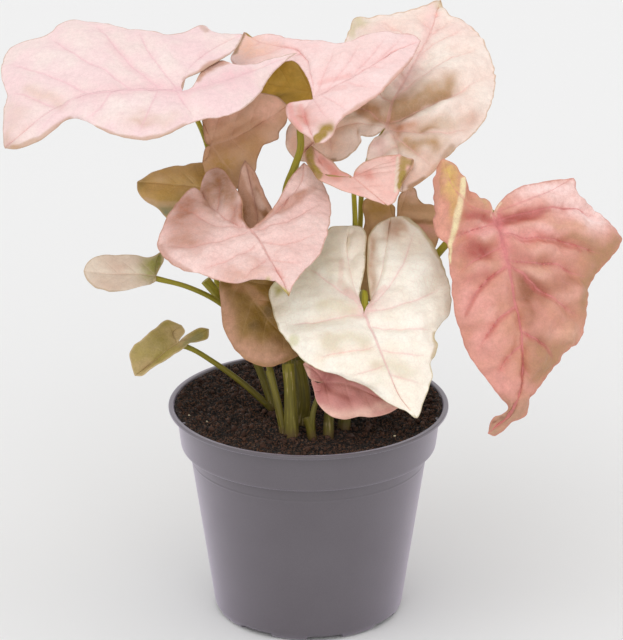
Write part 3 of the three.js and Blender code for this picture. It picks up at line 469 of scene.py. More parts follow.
# The forms are set out on a sighting sheet, which stands square to the line of sight through the
# middle of the lip. A spot is its column, its row and, where it has one, its lift towards the eye.
BLADES = [
    {
        "name": "leaf_top_left", "fine": True, "joint": (182, 91), "stand": 40, "slope": 1.25,
        "turn": -0.05, "arch": 8, "fold": -1, "dome": 4, "wave": 1.6,
        "rib": [(153, 90), (114, 91, 2), (82, 96, 2), (45, 115), (18, 137)], "tip": (4, 148, -3),
        "left": {
            "inner": [
                (190, 88.5), (195, 82.5), (198.5, 76, -1), (204, 68.5, -2), (212, 63.5, -3),
                (221, 61, -3), (230, 63, -1), (238, 65), (256, 63, 1), (277, 57, 3),
            ],
            "vein": [(212, 84), (250, 72), (276, 61.5, 2)], "lobe": (297, 53, 6),
            "outer": [
                (290, 57.8, 4), (279.5, 66.5, 2), (268, 79), (259, 94), (244, 108), (225, 116),
                (204, 119), (184, 126), (163, 136), (143, 140), (118, 136), (98, 128), (82, 119),
                (67, 120), (53, 131), (38, 142), (16, 149),
            ],
        },
        "right": {
            "inner": [
                (181.3, 87), (183.5, 81), (189, 76.8), (199, 73), (213, 64.5), (224, 58), (232, 52),
                (239, 44),
            ],
            "vein": [(190, 68), (215, 48)], "lobe": (243, 35),
            "outer": [
                (224, 34), (212, 32), (204, 25.5), (190, 30), (169, 35), (143, 30), (112, 24.5),
                (88, 20), (71, 20), (59, 25), (48, 34), (31, 39), (14, 45), (5, 54), (2, 65),
                (2, 80), (6, 95), (4, 112), (3, 131),
            ],
        },
    },
    {
        "name": "leaf_top_centre", "fine": True, "joint": (313, 99), "stand": 31, "slope": 1.2,
        "turn": 0.25, "arch": 8, "fold": 3, "dome": 3, "wave": 1,
        "rib": [(340, 84, 1), (368, 68, 1), (398, 50)], "tip": (421, 41),
        "left": {
            "lead": 0.7,
            "inner": [
                (311, 89), (306, 76), (300, 66), (292, 60.5), (280, 62), (262, 66), (242, 67),
                (231, 61), (236, 47),
            ],
            "vein": [(313, 82), (310, 64), (300, 51.5), (280, 46.5), (260, 42.5)],
            "lobe": (244, 32),
            "outer": [
                (251, 37.5), (262, 35), (278, 36), (292, 40), (318, 40), (341, 44), (355, 40),
                (373, 34), (396, 33), (413, 35),
            ],
        },
        "right": {
            "inner": [(300, 101), (288, 103), (286, 112), (289, 121), (297, 130), (306, 136)],
            "vein": [(304, 111), (308, 126)], "lobe": (316, 144),
            "outer": [
                (323, 143.5), (330, 139), (334, 133), (336.5, 126), (343, 118), (352, 113),
                (363, 106), (379, 94.5), (397, 77), (412, 59),
            ],
        },
    },
    {
        "name": "leaf_top_right", "fine": True, "joint": (386, 127), "stand": 13, "slope": 0.85,
        "turn": 0, "arch": 9, "fold": -1, "dome": 4.5, "wave": 2,
        "rib": [(391, 107, 2), (399, 91, 2), (409, 72, 2), (418, 56, 1), (430, 33)],
        "tip": (441, 0.5, -2),
        "left": {
            "inner": [
                (379, 132.5), (372, 137.3), (366, 137), (360.5, 135.5), (361.5, 141), (356, 149),
                (346, 157, -2), (334, 161.5, -4), (316, 163, -6),
            ],
            "vein": [(352, 124), (325, 135, -2), (308, 148, -5)], "lobe": (297, 162, -7),
            "outer": [
                (288, 150, -6), (286, 131, -4), (296, 118, -3), (316, 104, -2), (331, 82, -1),
                (338, 60), (344, 43), (350, 31), (354.5, 19), (363, 17.5), (380, 16.5), (402, 13),
                (421, 7.5), (433, 3),
            ],
        },
        "right": {
            "inner": [
                (380.5, 134), (373.5, 139.5), (369, 147), (366.5, 160), (373, 176), (388, 188),
            ],
            "vein": [(396, 143, 2), (400, 166)], "lobe": (402, 192),
            "outer": [
                (411, 188.5), (422, 181.5), (435, 171), (443.5, 160.5), (454, 151.5), (457, 147),
                (466, 141), (475, 133), (484, 121), (490, 108), (494.5, 92), (495, 76), (493, 61),
                (487, 46), (477, 32), (466, 22), (450, 15), (443, 8),
            ],
        },
    },
    {
        "name": "leaf_centre_small", "fine": False, "joint": (353, 177), "stand": 39, "slope": 0.7,
        "turn": 0, "arch": 12, "fold": 2, "dome": 1.5, "wave": 0.3, "rib": [(364, 186), (377, 197)],
        "tip": (388, 205.5),
        "left": {
            "inner": [(355, 170), (362, 163), (372, 158.5), (385, 156)],
            "vein": [(368, 170), (383, 163)], "lobe": (398, 155.5, -1),
            "outer": [
                (406, 157.5, -1), (413.5, 159, -1), (413, 167, -1), (406, 177, -2),
                (400.5, 187, -2), (397.5, 196, -2), (394, 203, -1),
            ],
        },
        "right": {
            "inner": [(348, 174), (341, 171), (333, 162), (322, 154)],
            "vein": [(342, 181), (326, 170)], "lobe": (311, 145, -2),
            "outer": [
                (306, 151, -4), (305, 159, -4), (312, 171, -3), (320, 181, -2), (329, 185, -1),
                (340, 190), (351, 193.5), (363, 197), (376, 202),
            ],
        },
    },
    {
        "name": "leaf_centre_left", "fine": True, "joint": (250, 229), "stand": 51, "slope": 1.15,
        "turn": 0.05, "arch": 7, "fold": 1, "dome": 3.5, "wave": 1,
        "rib": [(260, 242, 1), (275, 268, 1), (284, 284)], "tip": (289, 296),
        "left": {
            "inner": [(257, 222), (267, 213.5), (275, 205, 1), (284, 189, 4), (292, 175, 7)],
            "vein": [(263, 221.5), (274, 213), (287, 201), (301, 184, 5)], "lobe": (304, 162, 8),
            "outer": [
                (314, 172, 6), (323, 183, 3), (329, 198), (331, 212), (328, 230), (318, 257),
                (302, 273), (294, 283),
            ],
        },
        "right": {
            "inner": [
                (246, 224.5), (243, 218, 1.5), (243, 210, 3), (241, 198, 4), (233, 184, 4),
                (224, 171, 3), (216, 167, 2), (208, 170, 2), (203, 178, 1),
            ],
            "vein": [(238, 224, -1), (228, 219, -2), (214, 208, -3), (205, 198, -2)],
            "lobe": (200, 190),
            "outer": [
                (192, 188.5), (180, 199), (171, 212), (161, 230), (157, 243), (160, 252),
                (167, 260), (183, 270), (200, 274), (223, 282), (238, 283), (259, 279),
                (269, 277.5), (277, 283), (283, 290),
            ],
        },
    },
    {
        "name": "leaf_shaded_left", "fine": False, "joint": (211, 145), "stand": 14, "slope": 0.3,
        "turn": 0, "arch": 7, "fold": -1, "dome": 2, "wave": 0.3, "rib": [(236, 137), (262, 122)],
        "tip": (289, 105),
        "left": {
            "inner": [(206, 143)], "vein": [(208, 133)], "lobe": (202, 120),
            "outer": [(206, 108), (222, 99), (248, 94), (273, 95)],
        },
        "right": {
            "inner": [(206, 147)], "vein": [(208, 157, -1)], "lobe": (202, 163, -3),
            "outer": [
                (207, 176, -4), (220, 186, -5), (240, 188, -3), (252, 178, -1), (258, 160),
                (262, 145), (271, 142), (278.5, 139), (279.5, 132), (286, 123),
            ],
        },
    },
    {
        "name": "leaf_unfurling", "fine": False, "joint": (258, 234), "stand": 26, "slope": 0.12,
        "turn": 0, "arch": 6, "fold": 3, "dome": 1, "wave": 0,
        "rib": [(257, 215, 1), (252, 190, 1)], "tip": (245, 160),
        "left": {
            "inner": [(253, 238)], "vein": [(251, 234)], "lobe": (245, 237),
            "outer": [(239, 215), (238, 190), (240, 171)],
        },
        "right": {
            "inner": [(263, 235)], "vein": [(264, 229)], "lobe": (270, 229),
            "outer": [(273, 211), (268, 201), (262, 188), (254, 170)],
        },
    },
    {
        "name": "leaf_left_olive", "fine": False, "joint": (215, 190), "stand": 4, "slope": 0.5,
        "turn": -0.2, "arch": 10, "fold": 1, "dome": 1.5, "wave": 0.3,
        "rib": [(190, 186), (165, 184)], "tip": (137, 182),
        "left": {
            "inner": [(217, 196)], "vein": [(213, 198)], "lobe": (213, 206),
            "outer": [
                (196, 215, -4), (180, 220, -6), (168, 219, -6), (157, 208, -2), (146, 201),
                (138, 192),
            ],
        },
        "right": {
            "inner": [(219, 185)], "vein": [(217, 181)], "lobe": (221, 173),
            "outer": [(205, 164), (183, 165), (166, 168), (152, 173), (143, 179)],
        },
    },
    {
        "name": "leaf_far_left", "fine": False, "joint": (156, 276), "stand": 25, "slope": 0.8,
        "turn": 0, "arch": 14, "fold": 2, "dome": 1, "wave": 0.3, "rib": [(135, 274), (108, 274)],
        "tip": (84, 272),
        "left": {
            "inner": [(156, 281)], "vein": [(153, 280)], "lobe": (151, 284),
            "outer": [(142, 286), (132, 289), (117, 291.5), (97, 288), (87, 280)],
        },
        "right": {
            "inner": [(160, 268), (164, 259)], "vein": [(156, 265)], "lobe": (161, 252),
            "outer": [(150, 257), (137, 255), (118, 255), (100, 256), (89, 262)],
        },
    },
    {
        "name": "leaf_low_left", "fine": False, "joint": (178, 343), "stand": 20, "slope": 0.5,
        "turn": 0, "arch": 16, "fold": 3, "dome": 1, "wave": 0.3, "rib": [(165, 352), (150, 364)],
        "tip": (135, 376),
        "left": {
            "inner": [(183, 338), (190, 333), (200, 328)], "vein": [(187, 339), (198, 335)],
            "lobe": (209, 329),
            "outer": [
                (208, 338), (199, 341.5), (190, 343), (184, 349), (172, 356), (163, 362),
                (152, 368), (142, 376),
            ],
        },
        "right": {
            "inner": [(181, 338), (185, 332)], "vein": [(173, 333)], "lobe": (182, 326),
            "outer": [
                (174, 322), (167, 319.5), (156, 327), (145, 337), (134, 347), (130, 353),
                (132, 366),
            ],
        },
    },
    {
        "name": "leaf_low_centre", "fine": False, "joint": (240, 280), "stand": 34, "slope": 0.3,
        "turn": 0, "arch": 12, "fold": 1, "dome": 2, "wave": 0.5, "rib": [(258, 305), (280, 332)],
        "tip": (308, 353),
        "left": {
            "inner": [(247, 273)], "vein": [(251, 276)], "lobe": (258, 264),
            "outer": [(275, 275, -2), (290, 300, -3), (303, 330, -2)],
        },
        "right": {
            "inner": [(233, 278)], "vein": [(231, 281)], "lobe": (222, 271),
            "outer": [
                (220, 286), (221, 305), (225, 330), (235, 350), (250, 362), (265, 367), (280, 364),
                (296, 357),
            ],
        },
    },
    {
        "name": "leaf_front_ivory", "fine": True, "joint": (364, 313), "stand": 46, "slope": 0.6,
        "turn": -0.1, "arch": 9, "fold": -1, "dome": 4, "wave": 1.5,
        "rib": [(378, 345, 1), (390, 375, 1), (400, 397)], "tip": (417, 418),
        "left": {
            "inner": [(369.5, 303), (369, 290), (367.3, 272), (367.6, 250), (369, 236), (377, 226)],
            "vein": [(379, 282, 1), (386, 248, 1)], "lobe": (391, 217),
            "outer": [
                (407, 218), (419, 226), (432, 242), (444, 266), (451, 293), (449.5, 311),
                (441, 324), (434.5, 334), (437, 346), (434.5, 356), (429.5, 363), (431.5, 376),
                (424, 402),
            ],
        },
        "right": {
            "inner": [
                (358.5, 302), (360.5, 289), (364.3, 270), (365.6, 250), (366, 234), (361, 227.5),
            ],
            "vein": [(353, 284, 1), (347, 250, 1)], "lobe": (349, 225.7),
            "outer": [
                (330.5, 227.3), (320, 247), (300, 264), (284, 276), (270, 287), (269, 295),
                (273, 312), (280, 331), (291, 346), (302, 359), (320, 370), (344, 377), (372, 392),
                (386, 402), (405, 411),
            ],
        },
    },
    {
        "name": "leaf_front_rose", "fine": False, "joint": (324, 381), "stand": 44, "slope": 0.3,
        "turn": 0, "arch": 9, "fold": 0, "dome": 1, "wave": 0.3, "rib": [(350, 385), (375, 396)],
        "tip": (400, 407),
        "left": {
            "inner": [(317, 381.6), (310, 378.6)], "vein": [(315, 371)], "lobe": (303, 364),
            "outer": [(312, 357), (337, 356), (365, 369), (388, 389)],
        },
        "right": {
            "inner": [(317.5, 382.8), (311.5, 379.9)], "vein": [(320, 391)], "lobe": (314, 391),
            "outer": [(316.5, 401), (322, 409), (330, 415.5), (341, 419), (360, 417), (385, 415)],
        },
    },
    {
        "name": "leaf_right", "fine": True, "joint": (493, 213), "stand": 38, "slope": 0.35,
        "turn": -0.25, "arch": 6.5, "fold": -4, "dome": 3.5, "wave": 1.4,
        "rib": [
            (502, 238, 1), (508, 264, 2), (515, 300, 2), (521, 330, 2), (523, 355, 1), (522, 381),
            (518, 399), (510, 415),
        ],
        "tip": (488, 434),
        "left": {
            "inner": [(499, 203), (516, 189), (542, 182)], "vein": [(520, 203, 1), (548, 192)],
            "lobe": (574, 178),
            "outer": [
                (577, 192, -1), (590, 205, -3), (606, 219, -4), (622, 238, -5), (619, 246, -5),
                (609, 260, -4), (598, 273, -4), (591, 286, -3), (587, 313, -3), (582, 338, -3),
                (566, 353), (551, 372), (538, 387), (530.5, 398), (528, 408), (524, 416),
                (513, 422), (504, 431), (495, 436),
            ],
        },
        "right": {
            "inner": [
                (491.5, 206), (488, 200), (479.5, 198.5), (472, 191, 1), (462, 175), (453, 162),
            ],
            "vein": [(470, 205, 4), (452, 185, 4)], "lobe": (443, 159, -2),
            "outer": [
                (436, 169, -4), (434, 190, -5), (434, 215, -5), (436, 230, -4), (441, 240, -3),
                (447.5, 244, -2), (449.5, 258, -1), (451, 285), (457, 322), (473, 362), (483, 374),
                (493, 387), (500, 397), (508, 408), (503, 412), (495, 416), (490, 423),
            ],
        },
    },
    {
        "name": "leaf_inner_right", "fine": False, "joint": (396, 224), "stand": 4, "slope": 0.3,
        "turn": 0, "arch": 10, "fold": 0, "dome": 1, "wave": 0.3, "rib": [(398, 250), (396, 278)],
        "tip": (391, 310),
        "left": {
            "inner": [(397, 214), (397.2, 206), (399, 196)], "vein": [(401, 210), (405, 198)],
            "lobe": (408, 187),
            "outer": [
                (415, 189), (418, 198), (424, 204), (432, 205), (438, 210), (442, 222), (438, 241),
                (424, 274),
            ],
        },
        "right": {
            "inner": [(395.2, 214), (395, 207)], "vein": [(391, 212)], "lobe": (390, 202.5),
            "outer": [
                (377, 200), (366, 199), (362.5, 207), (365, 222), (361, 240), (357.5, 262),
                (358, 284), (371, 303),
            ],
        },
    },
    {
        "name": "leaf_back_olive", "fine": False, "joint": (311, 92), "stand": -7, "slope": 0.5,
        "turn": 0, "arch": 9, "fold": 1, "dome": 1, "wave": 0.3, "rib": [(282, 86), (248, 82)],
        "tip": (212, 83),
        "left": {
            "inner": [(316, 97)], "vein": [(315, 101)], "lobe": (320, 110, 2),
            "outer": [(298, 115), (268, 111), (236, 99)],
        },
        "right": {
            "inner": [(317, 87)], "vein": [(318, 80)], "lobe": (324, 68),
            "outer": [(306, 51), (274, 50), (246, 57), (226, 69)],
        },
    },
]

# The looks. `spacing` is the distance between side veins and `quilt` how far the blade puffs up
# between them, in millimetres. `side` and `rib` are how strongly side veins and rib are coloured,
# `grain` is how grainy the colour is and `ragged` how broken its marks are. The side veins of the
# large blades are set out in `laterals`, from the lobe to the tip. A mark is a colour and where it
# lies: spots of column and row, width, height and strength, or strokes of points, width and
# strength. Some marks are the blade's own tints; others are painted shade in folds, hollows and
# under other blades, and painted highlights on ridges and lit patches, as noted at each. A crease
# is points, width and depth, in millimetres, which is negative where the blade folds downwards.
LOOKS = {
    "leaf_top_left": {
        "slot": "blade_pale_pink", "ground": 0xF7D8D8, "cloud": 0xF7E0DB, "vein": 0xF0BFC6,
        "edge": 0xBD9A7C, "under": 0xB08F70, "spacing": 15.0, "quilt": 1.1, "side": 0.3, "rib": 0.4,
        "laterals": {
            "left": [
                [(178, 94), (188, 108), (198, 124)],
                [(158, 91), (150, 108), (142, 124), (140, 140)], [(112, 92), (100, 108), (84, 120)],
                [(70, 101), (52, 116), (36, 140)],
            ],
            "right": [
                [(176, 88), (160, 68), (146, 48), (138, 30)],
                [(160, 89), (133, 67), (110, 41), (96, 24)],
                [(131, 90), (106, 71), (82, 59), (50, 38)],
                [(88, 95), (71, 86), (49, 75), (31, 70), (3, 62)], [(55, 108), (35, 98), (5, 92)],
            ],
        },
        "marks": [
            (0xF3C6CA, [
                ([(182, 91), (150, 89), (114, 91), (82, 98)], 7, 0.6),
                ([(184, 90), (212, 84), (250, 75)], 7, 0.6), ((232, 80), 22, 16, 0.35),
                ([(150, 84), (128, 64), (110, 44)], 5, 0.35),
            ]),
            # Painted highlights on the lit swells of the blade.
            (0xFAECE6, [
                ((60, 62), 44, 20, 0.3), ((120, 106), 30, 10, 0.5), ((165, 60), 20, 12, 0.3),
            ]),
            # Painted shade in a fold, along the margins and in a few small spots.
            (0xD9B5A2, [
                ((143, 119), 9, 3, 0.45), ([(30, 91), (46, 96), (62, 104)], 6, 0.4),
                ((14, 120), 12, 20, 0.35), ((158, 22), 8, 5, 0.5), ((150, 121), 22, 8, 0.5),
            ]),
            (0xB98F68, [
                ([(3, 149), (20, 147), (40, 139), (54, 128), (70, 119)], 3.2, 0.55),
                ([(96, 128), (116, 136), (142, 140), (163, 136), (184, 126)], 2.6, 0.6),
                ((8, 140), 9, 8, 0.45), ([(203, 27), (206, 33)], 3, 0.6),
            ]),
            # Painted shade where the lobe's inner margin curls down beside the notch.
            (0xC69378, [([(199, 77), (205, 70), (214, 65), (226, 62)], 4.5, 0.85)]),
            (0xC9A08C, [([(184, 80), (190, 76), (200, 72), (213, 64), (226, 56)], 2.2, 0.6)]),
        ],
        "creases": [
            ([(35, 94), (48, 97), (61, 103)], 4, -0.7), ([(135, 118), (150, 121)], 5, -0.6),
            ([(143, 61), (150, 66)], 6, -0.5), ([(120, 100), (90, 106)], 6, 0.5),
        ],
    },
    "leaf_top_centre": {
        "slot": "blade_pink", "ground": 0xF9D5D2, "cloud": 0xFBDEDB, "vein": 0xEBA7A4,
        "edge": 0xCC9688, "under": 0xA98A3C, "spacing": 12.0, "quilt": 1.2, "side": 0.16,
        "rib": 0.16,
        "laterals": {
            "left": [
                [(315, 97), (322, 80), (330, 62), (336, 43)],
                [(328, 90), (340, 74), (352, 58), (362, 38)],
                [(350, 79), (362, 66), (376, 50), (388, 34)],
                [(375, 64), (386, 54), (398, 42), (404, 34)],
            ],
            "right": [
                [(315, 101), (322, 112), (331, 122), (338, 127)],
                [(322, 96), (336, 102), (352, 112)], [(345, 82), (360, 84), (380, 92)],
                [(372, 66), (386, 68), (402, 72)],
            ],
        },
        "marks": [
            (0xF3C1AA, [((243, 46), 14, 14, 0.95), ((262, 50), 18, 10, 0.7)]),
            # Painted shade on the lower lobe beside the stalk.
            (0xD08672, [((303, 117), 16, 14, 0.8)]),
            # Painted highlights along the raised ridges.
            (0xFADAD5, [
                ([(322, 64), (345, 52), (372, 42)], 7, 0.7), ([(340, 100), (368, 92)], 8, 0.4),
                ([(290, 103), (304, 104)], 3, 0.4),
            ]),
            # Darker pink streaks: partly the blade's own, partly painted shade in its creases and
            # on the lower lobe.
            (0xE9A19A, [
                ([(319, 83), (334, 80), (350, 75)], 2.4, 0.35), ([(320, 92), (345, 88)], 3, 0.25),
                ([(289, 104), (292, 120), (300, 130)], 3.5, 0.6),
                ([(301, 106), (306, 122)], 2.5, 0.5),
            ]),
            (0xC9987E, [
                ([(412, 60), (397, 78), (379, 95), (363, 106), (345, 117)], 3.4, 0.7),
                ([(290, 124), (300, 134), (313, 142)], 3, 0.5),
            ]),
            (0xA4853A, [([(324, 131), (329, 128)], 6, 1.0), ([(318, 141), (323, 135)], 4.6, 1.0)]),
            (0x8F6E42, [([(244.5, 32), (240, 42), (235, 54)], 2.0, 0.8)]),
        ],
        "creases": [
            ([(319, 83), (334, 80), (352, 74)], 3, -0.5),
            ([(326, 66), (345, 57), (366, 52)], 4, 0.5), ([(300, 106), (306, 124)], 3, -0.4),
        ],
    },
    "leaf_top_right": {
        "slot": "blade_cream", "ground": 0xFAE9DE, "cloud": 0xF8E0D4, "vein": 0xF0B9B0,
        "edge": 0xC2996E, "under": 0xB98F62, "grain": 0.24, "ragged": 0.45, "spacing": 13.0,
        "quilt": 2.4, "side": 0.26, "rib": 0.5,
        "laterals": {
            "left": [
                [(386, 124), (370, 112), (350, 104), (318, 98)],
                [(392, 105), (378, 92), (360, 82), (330, 74)],
                [(405, 80), (394, 64), (378, 52), (346, 44)],
                [(418, 56), (410, 40), (396, 28), (372, 18)], [(431, 31), (424, 20), (410, 10)],
            ],
            "right": [
                [(388, 134), (402, 142), (418, 153), (436, 166)],
                [(386, 129), (400, 131), (424, 134), (446, 131), (474, 128)],
                [(387, 122), (400, 118), (421, 108), (447, 98), (463, 87), (494, 72)],
                [(394, 101), (410, 86), (432, 68), (455, 56), (488, 42)],
                [(409, 70), (424, 52), (444, 38), (470, 26)], [(426, 42), (436, 30), (450, 18)],
            ],
        },
        "marks": [
            (0xF5CAC5, [
                ([(432, 14), (425, 40), (414, 62), (402, 86)], 8, 0.7), ((380, 30), 24, 7, 0.5),
                ((452, 30), 14, 10, 0.4), ((376, 146), 12, 8, 0.7),
                ([(396, 128), (414, 124)], 5, 0.2),
            ]),
            (0xFBF0E4, [
                ((446, 62), 22, 12, 0.7), ((480, 100), 8, 14, 0.5),
                ([(420, 115), (448, 103)], 3.5, 0.7),
            ]),
            # Ochre tints on the lower lobes, and painted shadow in the band under the fold.
            (0xB68C5E, [
                ([(394, 109), (412, 102), (432, 94), (452, 86)], 8, 0.85), ((426, 127), 13, 7, 0.8),
                ((411, 147), 19, 9, 0.95), ((446, 122), 16, 6, 0.5), ((432, 146), 14, 9, 0.85),
                ([(452, 150), (440, 165), (430, 176)], 5, 0.6),
            ]),
            # Painted shadow under the fold, darkest at its crisp lower edge.
            (0xA07640, [([(392, 117), (412, 109.5), (432, 101), (450, 93)], 5.2, 0.8)]),
            (0xC08E62, [([(362, 111), (376, 112), (387, 119)], 9, 0.9), ((398, 100), 8, 5, 0.5)]),
            (0xC98F6E, [((403, 131), 13, 6, 1.0), ((392, 128), 8, 6, 0.6)]),
            (0xEBCDB4, [([(352, 121), (336, 130)], 7, 0.7)]),
            # The left lobe's own warm peach, painted lighter where the blades above shade it.
            (0xF6CCB6, [((326, 144), 22, 16, 0.9), ((336, 128), 22, 10, 0.6)]),
            (0xE4B49C, [
                ((300, 146), 16, 16, 0.9), ((298, 126), 14, 12, 0.8), ((438, 170), 18, 12, 0.7),
                ((408, 178), 16, 14, 0.8),
            ]),
            # Painted shade by the right margin.
            (0xD6A48E, [((468, 120), 12, 14, 0.7)]),
            (0xCFC195, [((361, 24), 10, 7, 0.8), ((441, 3), 6, 5, 0.7), ((352, 31), 5, 8, 0.6)]),
            (0xC2A090, [((420, 68), 7, 4, 0.35)]),
            (0x9A7040, [
                ([(334, 161), (322, 161), (308, 150)], 3, 0.7),
                ([(410, 188), (424, 180)], 3.4, 0.8),
            ]),
        ],
        "creases": [
            ([(388, 120), (400, 116), (421, 106), (447, 96), (466, 84)], 5, -1.7),
            ([(396, 104), (420, 90), (446, 76)], 9, 1.4),
            ([(404, 124), (430, 116), (456, 104)], 5, 1.3), ([(412, 136), (440, 134)], 5, 0.9),
            ([(420, 128), (446, 124)], 4, -0.8),
        ],
    },
    "leaf_centre_small": {
        "slot": "blade_salmon", "ground": 0xF0B9AE, "cloud": 0xF2C8BE, "vein": 0xE09A8C,
        "edge": 0xB98B62, "under": 0xA98A52, "spacing": 7.0, "quilt": 0.6, "side": 0.15,
        "rib": 0.35,
        "marks": [
            # Painted shade on the left wing, darkest in the notch at the stalk.
            (0xD98475, [
                ((350, 173), 11, 5, 0.9), ((368, 176), 8, 5, 0.6), ((336, 176), 8, 6, 0.6),
                ([(322, 160), (334, 172)], 4, 0.6),
            ]),
            (0xF7D3C8, [((376, 192), 10, 5, 0.7), ((384, 166), 12, 5, 0.5)]),
            (0xA48A3A, [
                ([(309, 147), (310, 160), (318, 176)], 4.6, 1.0),
                ([(404, 160), (402, 174), (400, 186)], 4.4, 1.0), ((410, 163), 4, 5, 1.0),
            ]),
            (0x7E5C34, [
                ([(413, 160), (409, 172), (402, 182)], 1.6, 0.8),
                ([(307, 158), (314, 172)], 1.6, 0.5),
            ]),
            (0xE9D9C4, [([(397.5, 159), (396.5, 176), (395, 192)], 1.3, 0.8)]),
        ],
        "creases": [
            ([(399, 157), (398, 176), (396, 194)], 2, 0.5), ([(318, 152), (328, 172)], 2.5, 0.5),
        ],
    },
    "leaf_centre_left": {
        "slot": "blade_salmon", "ground": 0xEFC7C0, "cloud": 0xF3D3CC, "vein": 0xDA9287,
        "edge": 0xB98060, "under": 0xA08A44, "grain": 0.32, "spacing": 11.0, "quilt": 1.7,
        "side": 0.2, "rib": 0.45,
        "laterals": {
            "left": [
                [(250, 231), (275, 226), (300, 215), (330, 200)],
                [(256, 243), (280, 243), (305, 238), (332, 226)],
                [(266, 260), (285, 262), (312, 262)], [(278, 277), (290, 279), (302, 278)],
            ],
            "right": [
                [(242, 226), (222, 226), (198, 216), (172, 202)],
                [(246, 232), (222, 240), (195, 246), (157, 246)],
                [(254, 246), (235, 256), (212, 266), (192, 276)],
                [(265, 260), (252, 270), (240, 284)],
            ],
        },
        "marks": [
            # Partly the lobe's own brown, partly painted shade on the inner flap, which curls up
            # away from the light.
            (0x9C6E4A, [
                ((220, 182), 15, 15, 0.95), ((208, 194), 9, 16, 0.8), ((228, 196), 10, 16, 0.7),
            ]),
            (0xB2765C, [
                ((184, 210), 17, 20, 0.95), ((178, 240), 18, 14, 0.6), ((206, 232), 14, 10, 0.3),
                ((236, 212), 8, 10, 0.7), ([(243, 180), (244, 200), (243, 218)], 4, 0.7),
            ]),
            # Painted shade along a fold line of the blade.
            (0xC08872, [
                ([(258, 221), (272, 212), (288, 204), (302, 196)], 5.5, 0.7),
                ([(300, 200), (312, 190)], 5, 0.4),
            ]),
            # Painted highlights on the lit parts of the blade.
            (0xF5D2CB, [
                ((222, 244), 18, 10, 0.6), ((284, 232), 26, 14, 0.55), ((304, 180), 10, 10, 0.6),
                ((270, 276), 10, 5, 0.5), ((205, 262), 22, 5, 0.4),
            ]),
            (0xB5806A, [((192, 241), 9, 5, 0.6), ([(160, 246), (170, 262), (190, 272)], 3, 0.5)]),
            # Painted shade along the lower margin, where it curls under.
            (0xCE937A, [((240, 276), 20, 7, 0.5), ((256, 268), 9, 6, 0.3)]),
            (0xB4A852, [([(268, 282), (277, 286), (286, 296)], 4.5, 1.0)]),
            # Painted shade in the hollow at the notch's edge.
            (0x8A5A40, [([(243, 204), (243, 218), (248, 227)], 1.8, 0.7)]),
        ],
        "creases": [
            ([(201, 190), (209, 203), (218, 214), (230, 220), (241, 226)], 3, -1.0),
            ([(254, 226), (267, 216), (283, 208), (301, 199)], 3, -0.9),
            ([(262, 236), (290, 226), (316, 208)], 8, 0.8), ([(210, 250), (236, 246)], 7, 0.8),
            ([(228, 272), (244, 268), (258, 266)], 3, -0.7),
        ],
    },
    "leaf_shaded_left": {
        "slot": "blade_bronze", "ground": 0xCF9E7E, "cloud": 0xD7AC92, "vein": 0xD9AE96,
        "edge": 0x9C6F4C, "under": 0x96734A, "spacing": 9.0, "quilt": 1.0, "side": 0.14,
        "rib": 0.35,
        "marks": [
            (0xAC8040, [((222, 168), 24, 20, 0.9), ((252, 146), 14, 14, 0.6)]),
            # Painted light: the blade's top right, lit pink.
            (0xF2BCA6, [
                ((266, 112), 12, 8, 0.9), ([(212, 120), (236, 107)], 6, 0.8),
                ((276, 106), 8, 6, 0.8),
            ]),
        ],
        "creases": [
            ([(206, 142), (232, 130), (262, 112)], 4, -0.9), ([(215, 160), (245, 145)], 8, 0.8),
        ],
    },
    "leaf_unfurling": {
        "slot": "blade_bronze", "ground": 0xB98A72, "cloud": 0xC4967F, "vein": 0xDDB5A4,
        "edge": 0x8A6246, "under": 0x8C6A44, "spacing": 8.0, "quilt": 0.4, "side": 0.1, "rib": 0.3,
        "marks": [
            # Painted shade in the hollow of the half-rolled blade, and along its fold.
            (0x85542E, [((247, 213), 8, 20, 0.9), ([(254, 190), (260, 204), (266, 216)], 4, 0.8)]),
            (0xDDB8A8, [([(244, 170), (252, 190), (262, 206)], 4, 0.6)]),
            (0xA77864, [([(258, 178), (268, 196), (273, 208)], 4, 0.6)]),
        ],
    },
    "leaf_left_olive": {
        "slot": "blade_olive", "ground": 0xC69E56, "cloud": 0xCCA66E, "vein": 0xCBAE80,
        "edge": 0xC8A680, "under": 0x8A8058, "spacing": 8.0, "quilt": 0.6, "side": 0.14, "rib": 0.3,
        "marks": [
            (0x8C8A6C, [((165, 213), 14, 8, 0.95), ((160, 206), 12, 3, 0.6)]),
            (0x8A7238, [((141, 184), 6, 8, 0.7), ((178, 202), 12, 8, 0.6)]),
            (0xCDAA88, [([(146, 200), (160, 204), (176, 204)], 3, 0.6), ((160, 176), 14, 6, 0.3)]),
        ],
    },
    "leaf_far_left": {
        "slot": "blade_cream", "ground": 0xE6D6C4, "cloud": 0xDBC5B2, "vein": 0xDCBBA8,
        "edge": 0xB99C74, "under": 0xA89868, "spacing": 8.0, "quilt": 0.5, "side": 0.15,
        "rib": 0.35,
        "marks": [
            (0x98964E, [((152, 268), 12, 14, 0.95), ((160, 258), 6, 8, 0.9)]),
            (0xC9A48E, [((120, 264), 20, 6, 0.4), ((100, 284), 14, 6, 0.3)]),
            (0x7C7A34, [([(160, 254), (158, 266), (156, 276)], 2.4, 0.8)]),
        ],
    },
    "leaf_low_left": {
        "slot": "blade_olive", "ground": 0xA18F4A, "cloud": 0xB49C6C, "vein": 0xC4AA84,
        "edge": 0xCDB48E, "under": 0x857B44, "grain": 0.36, "spacing": 7.0, "quilt": 0.5,
        "side": 0.14, "rib": 0.35,
        "marks": [
            (0x86762E, [((160, 340), 12, 12, 0.7)]),
            (0xC0A07A, [((142, 364), 12, 8, 0.6), ((180, 332), 8, 6, 0.3)]),
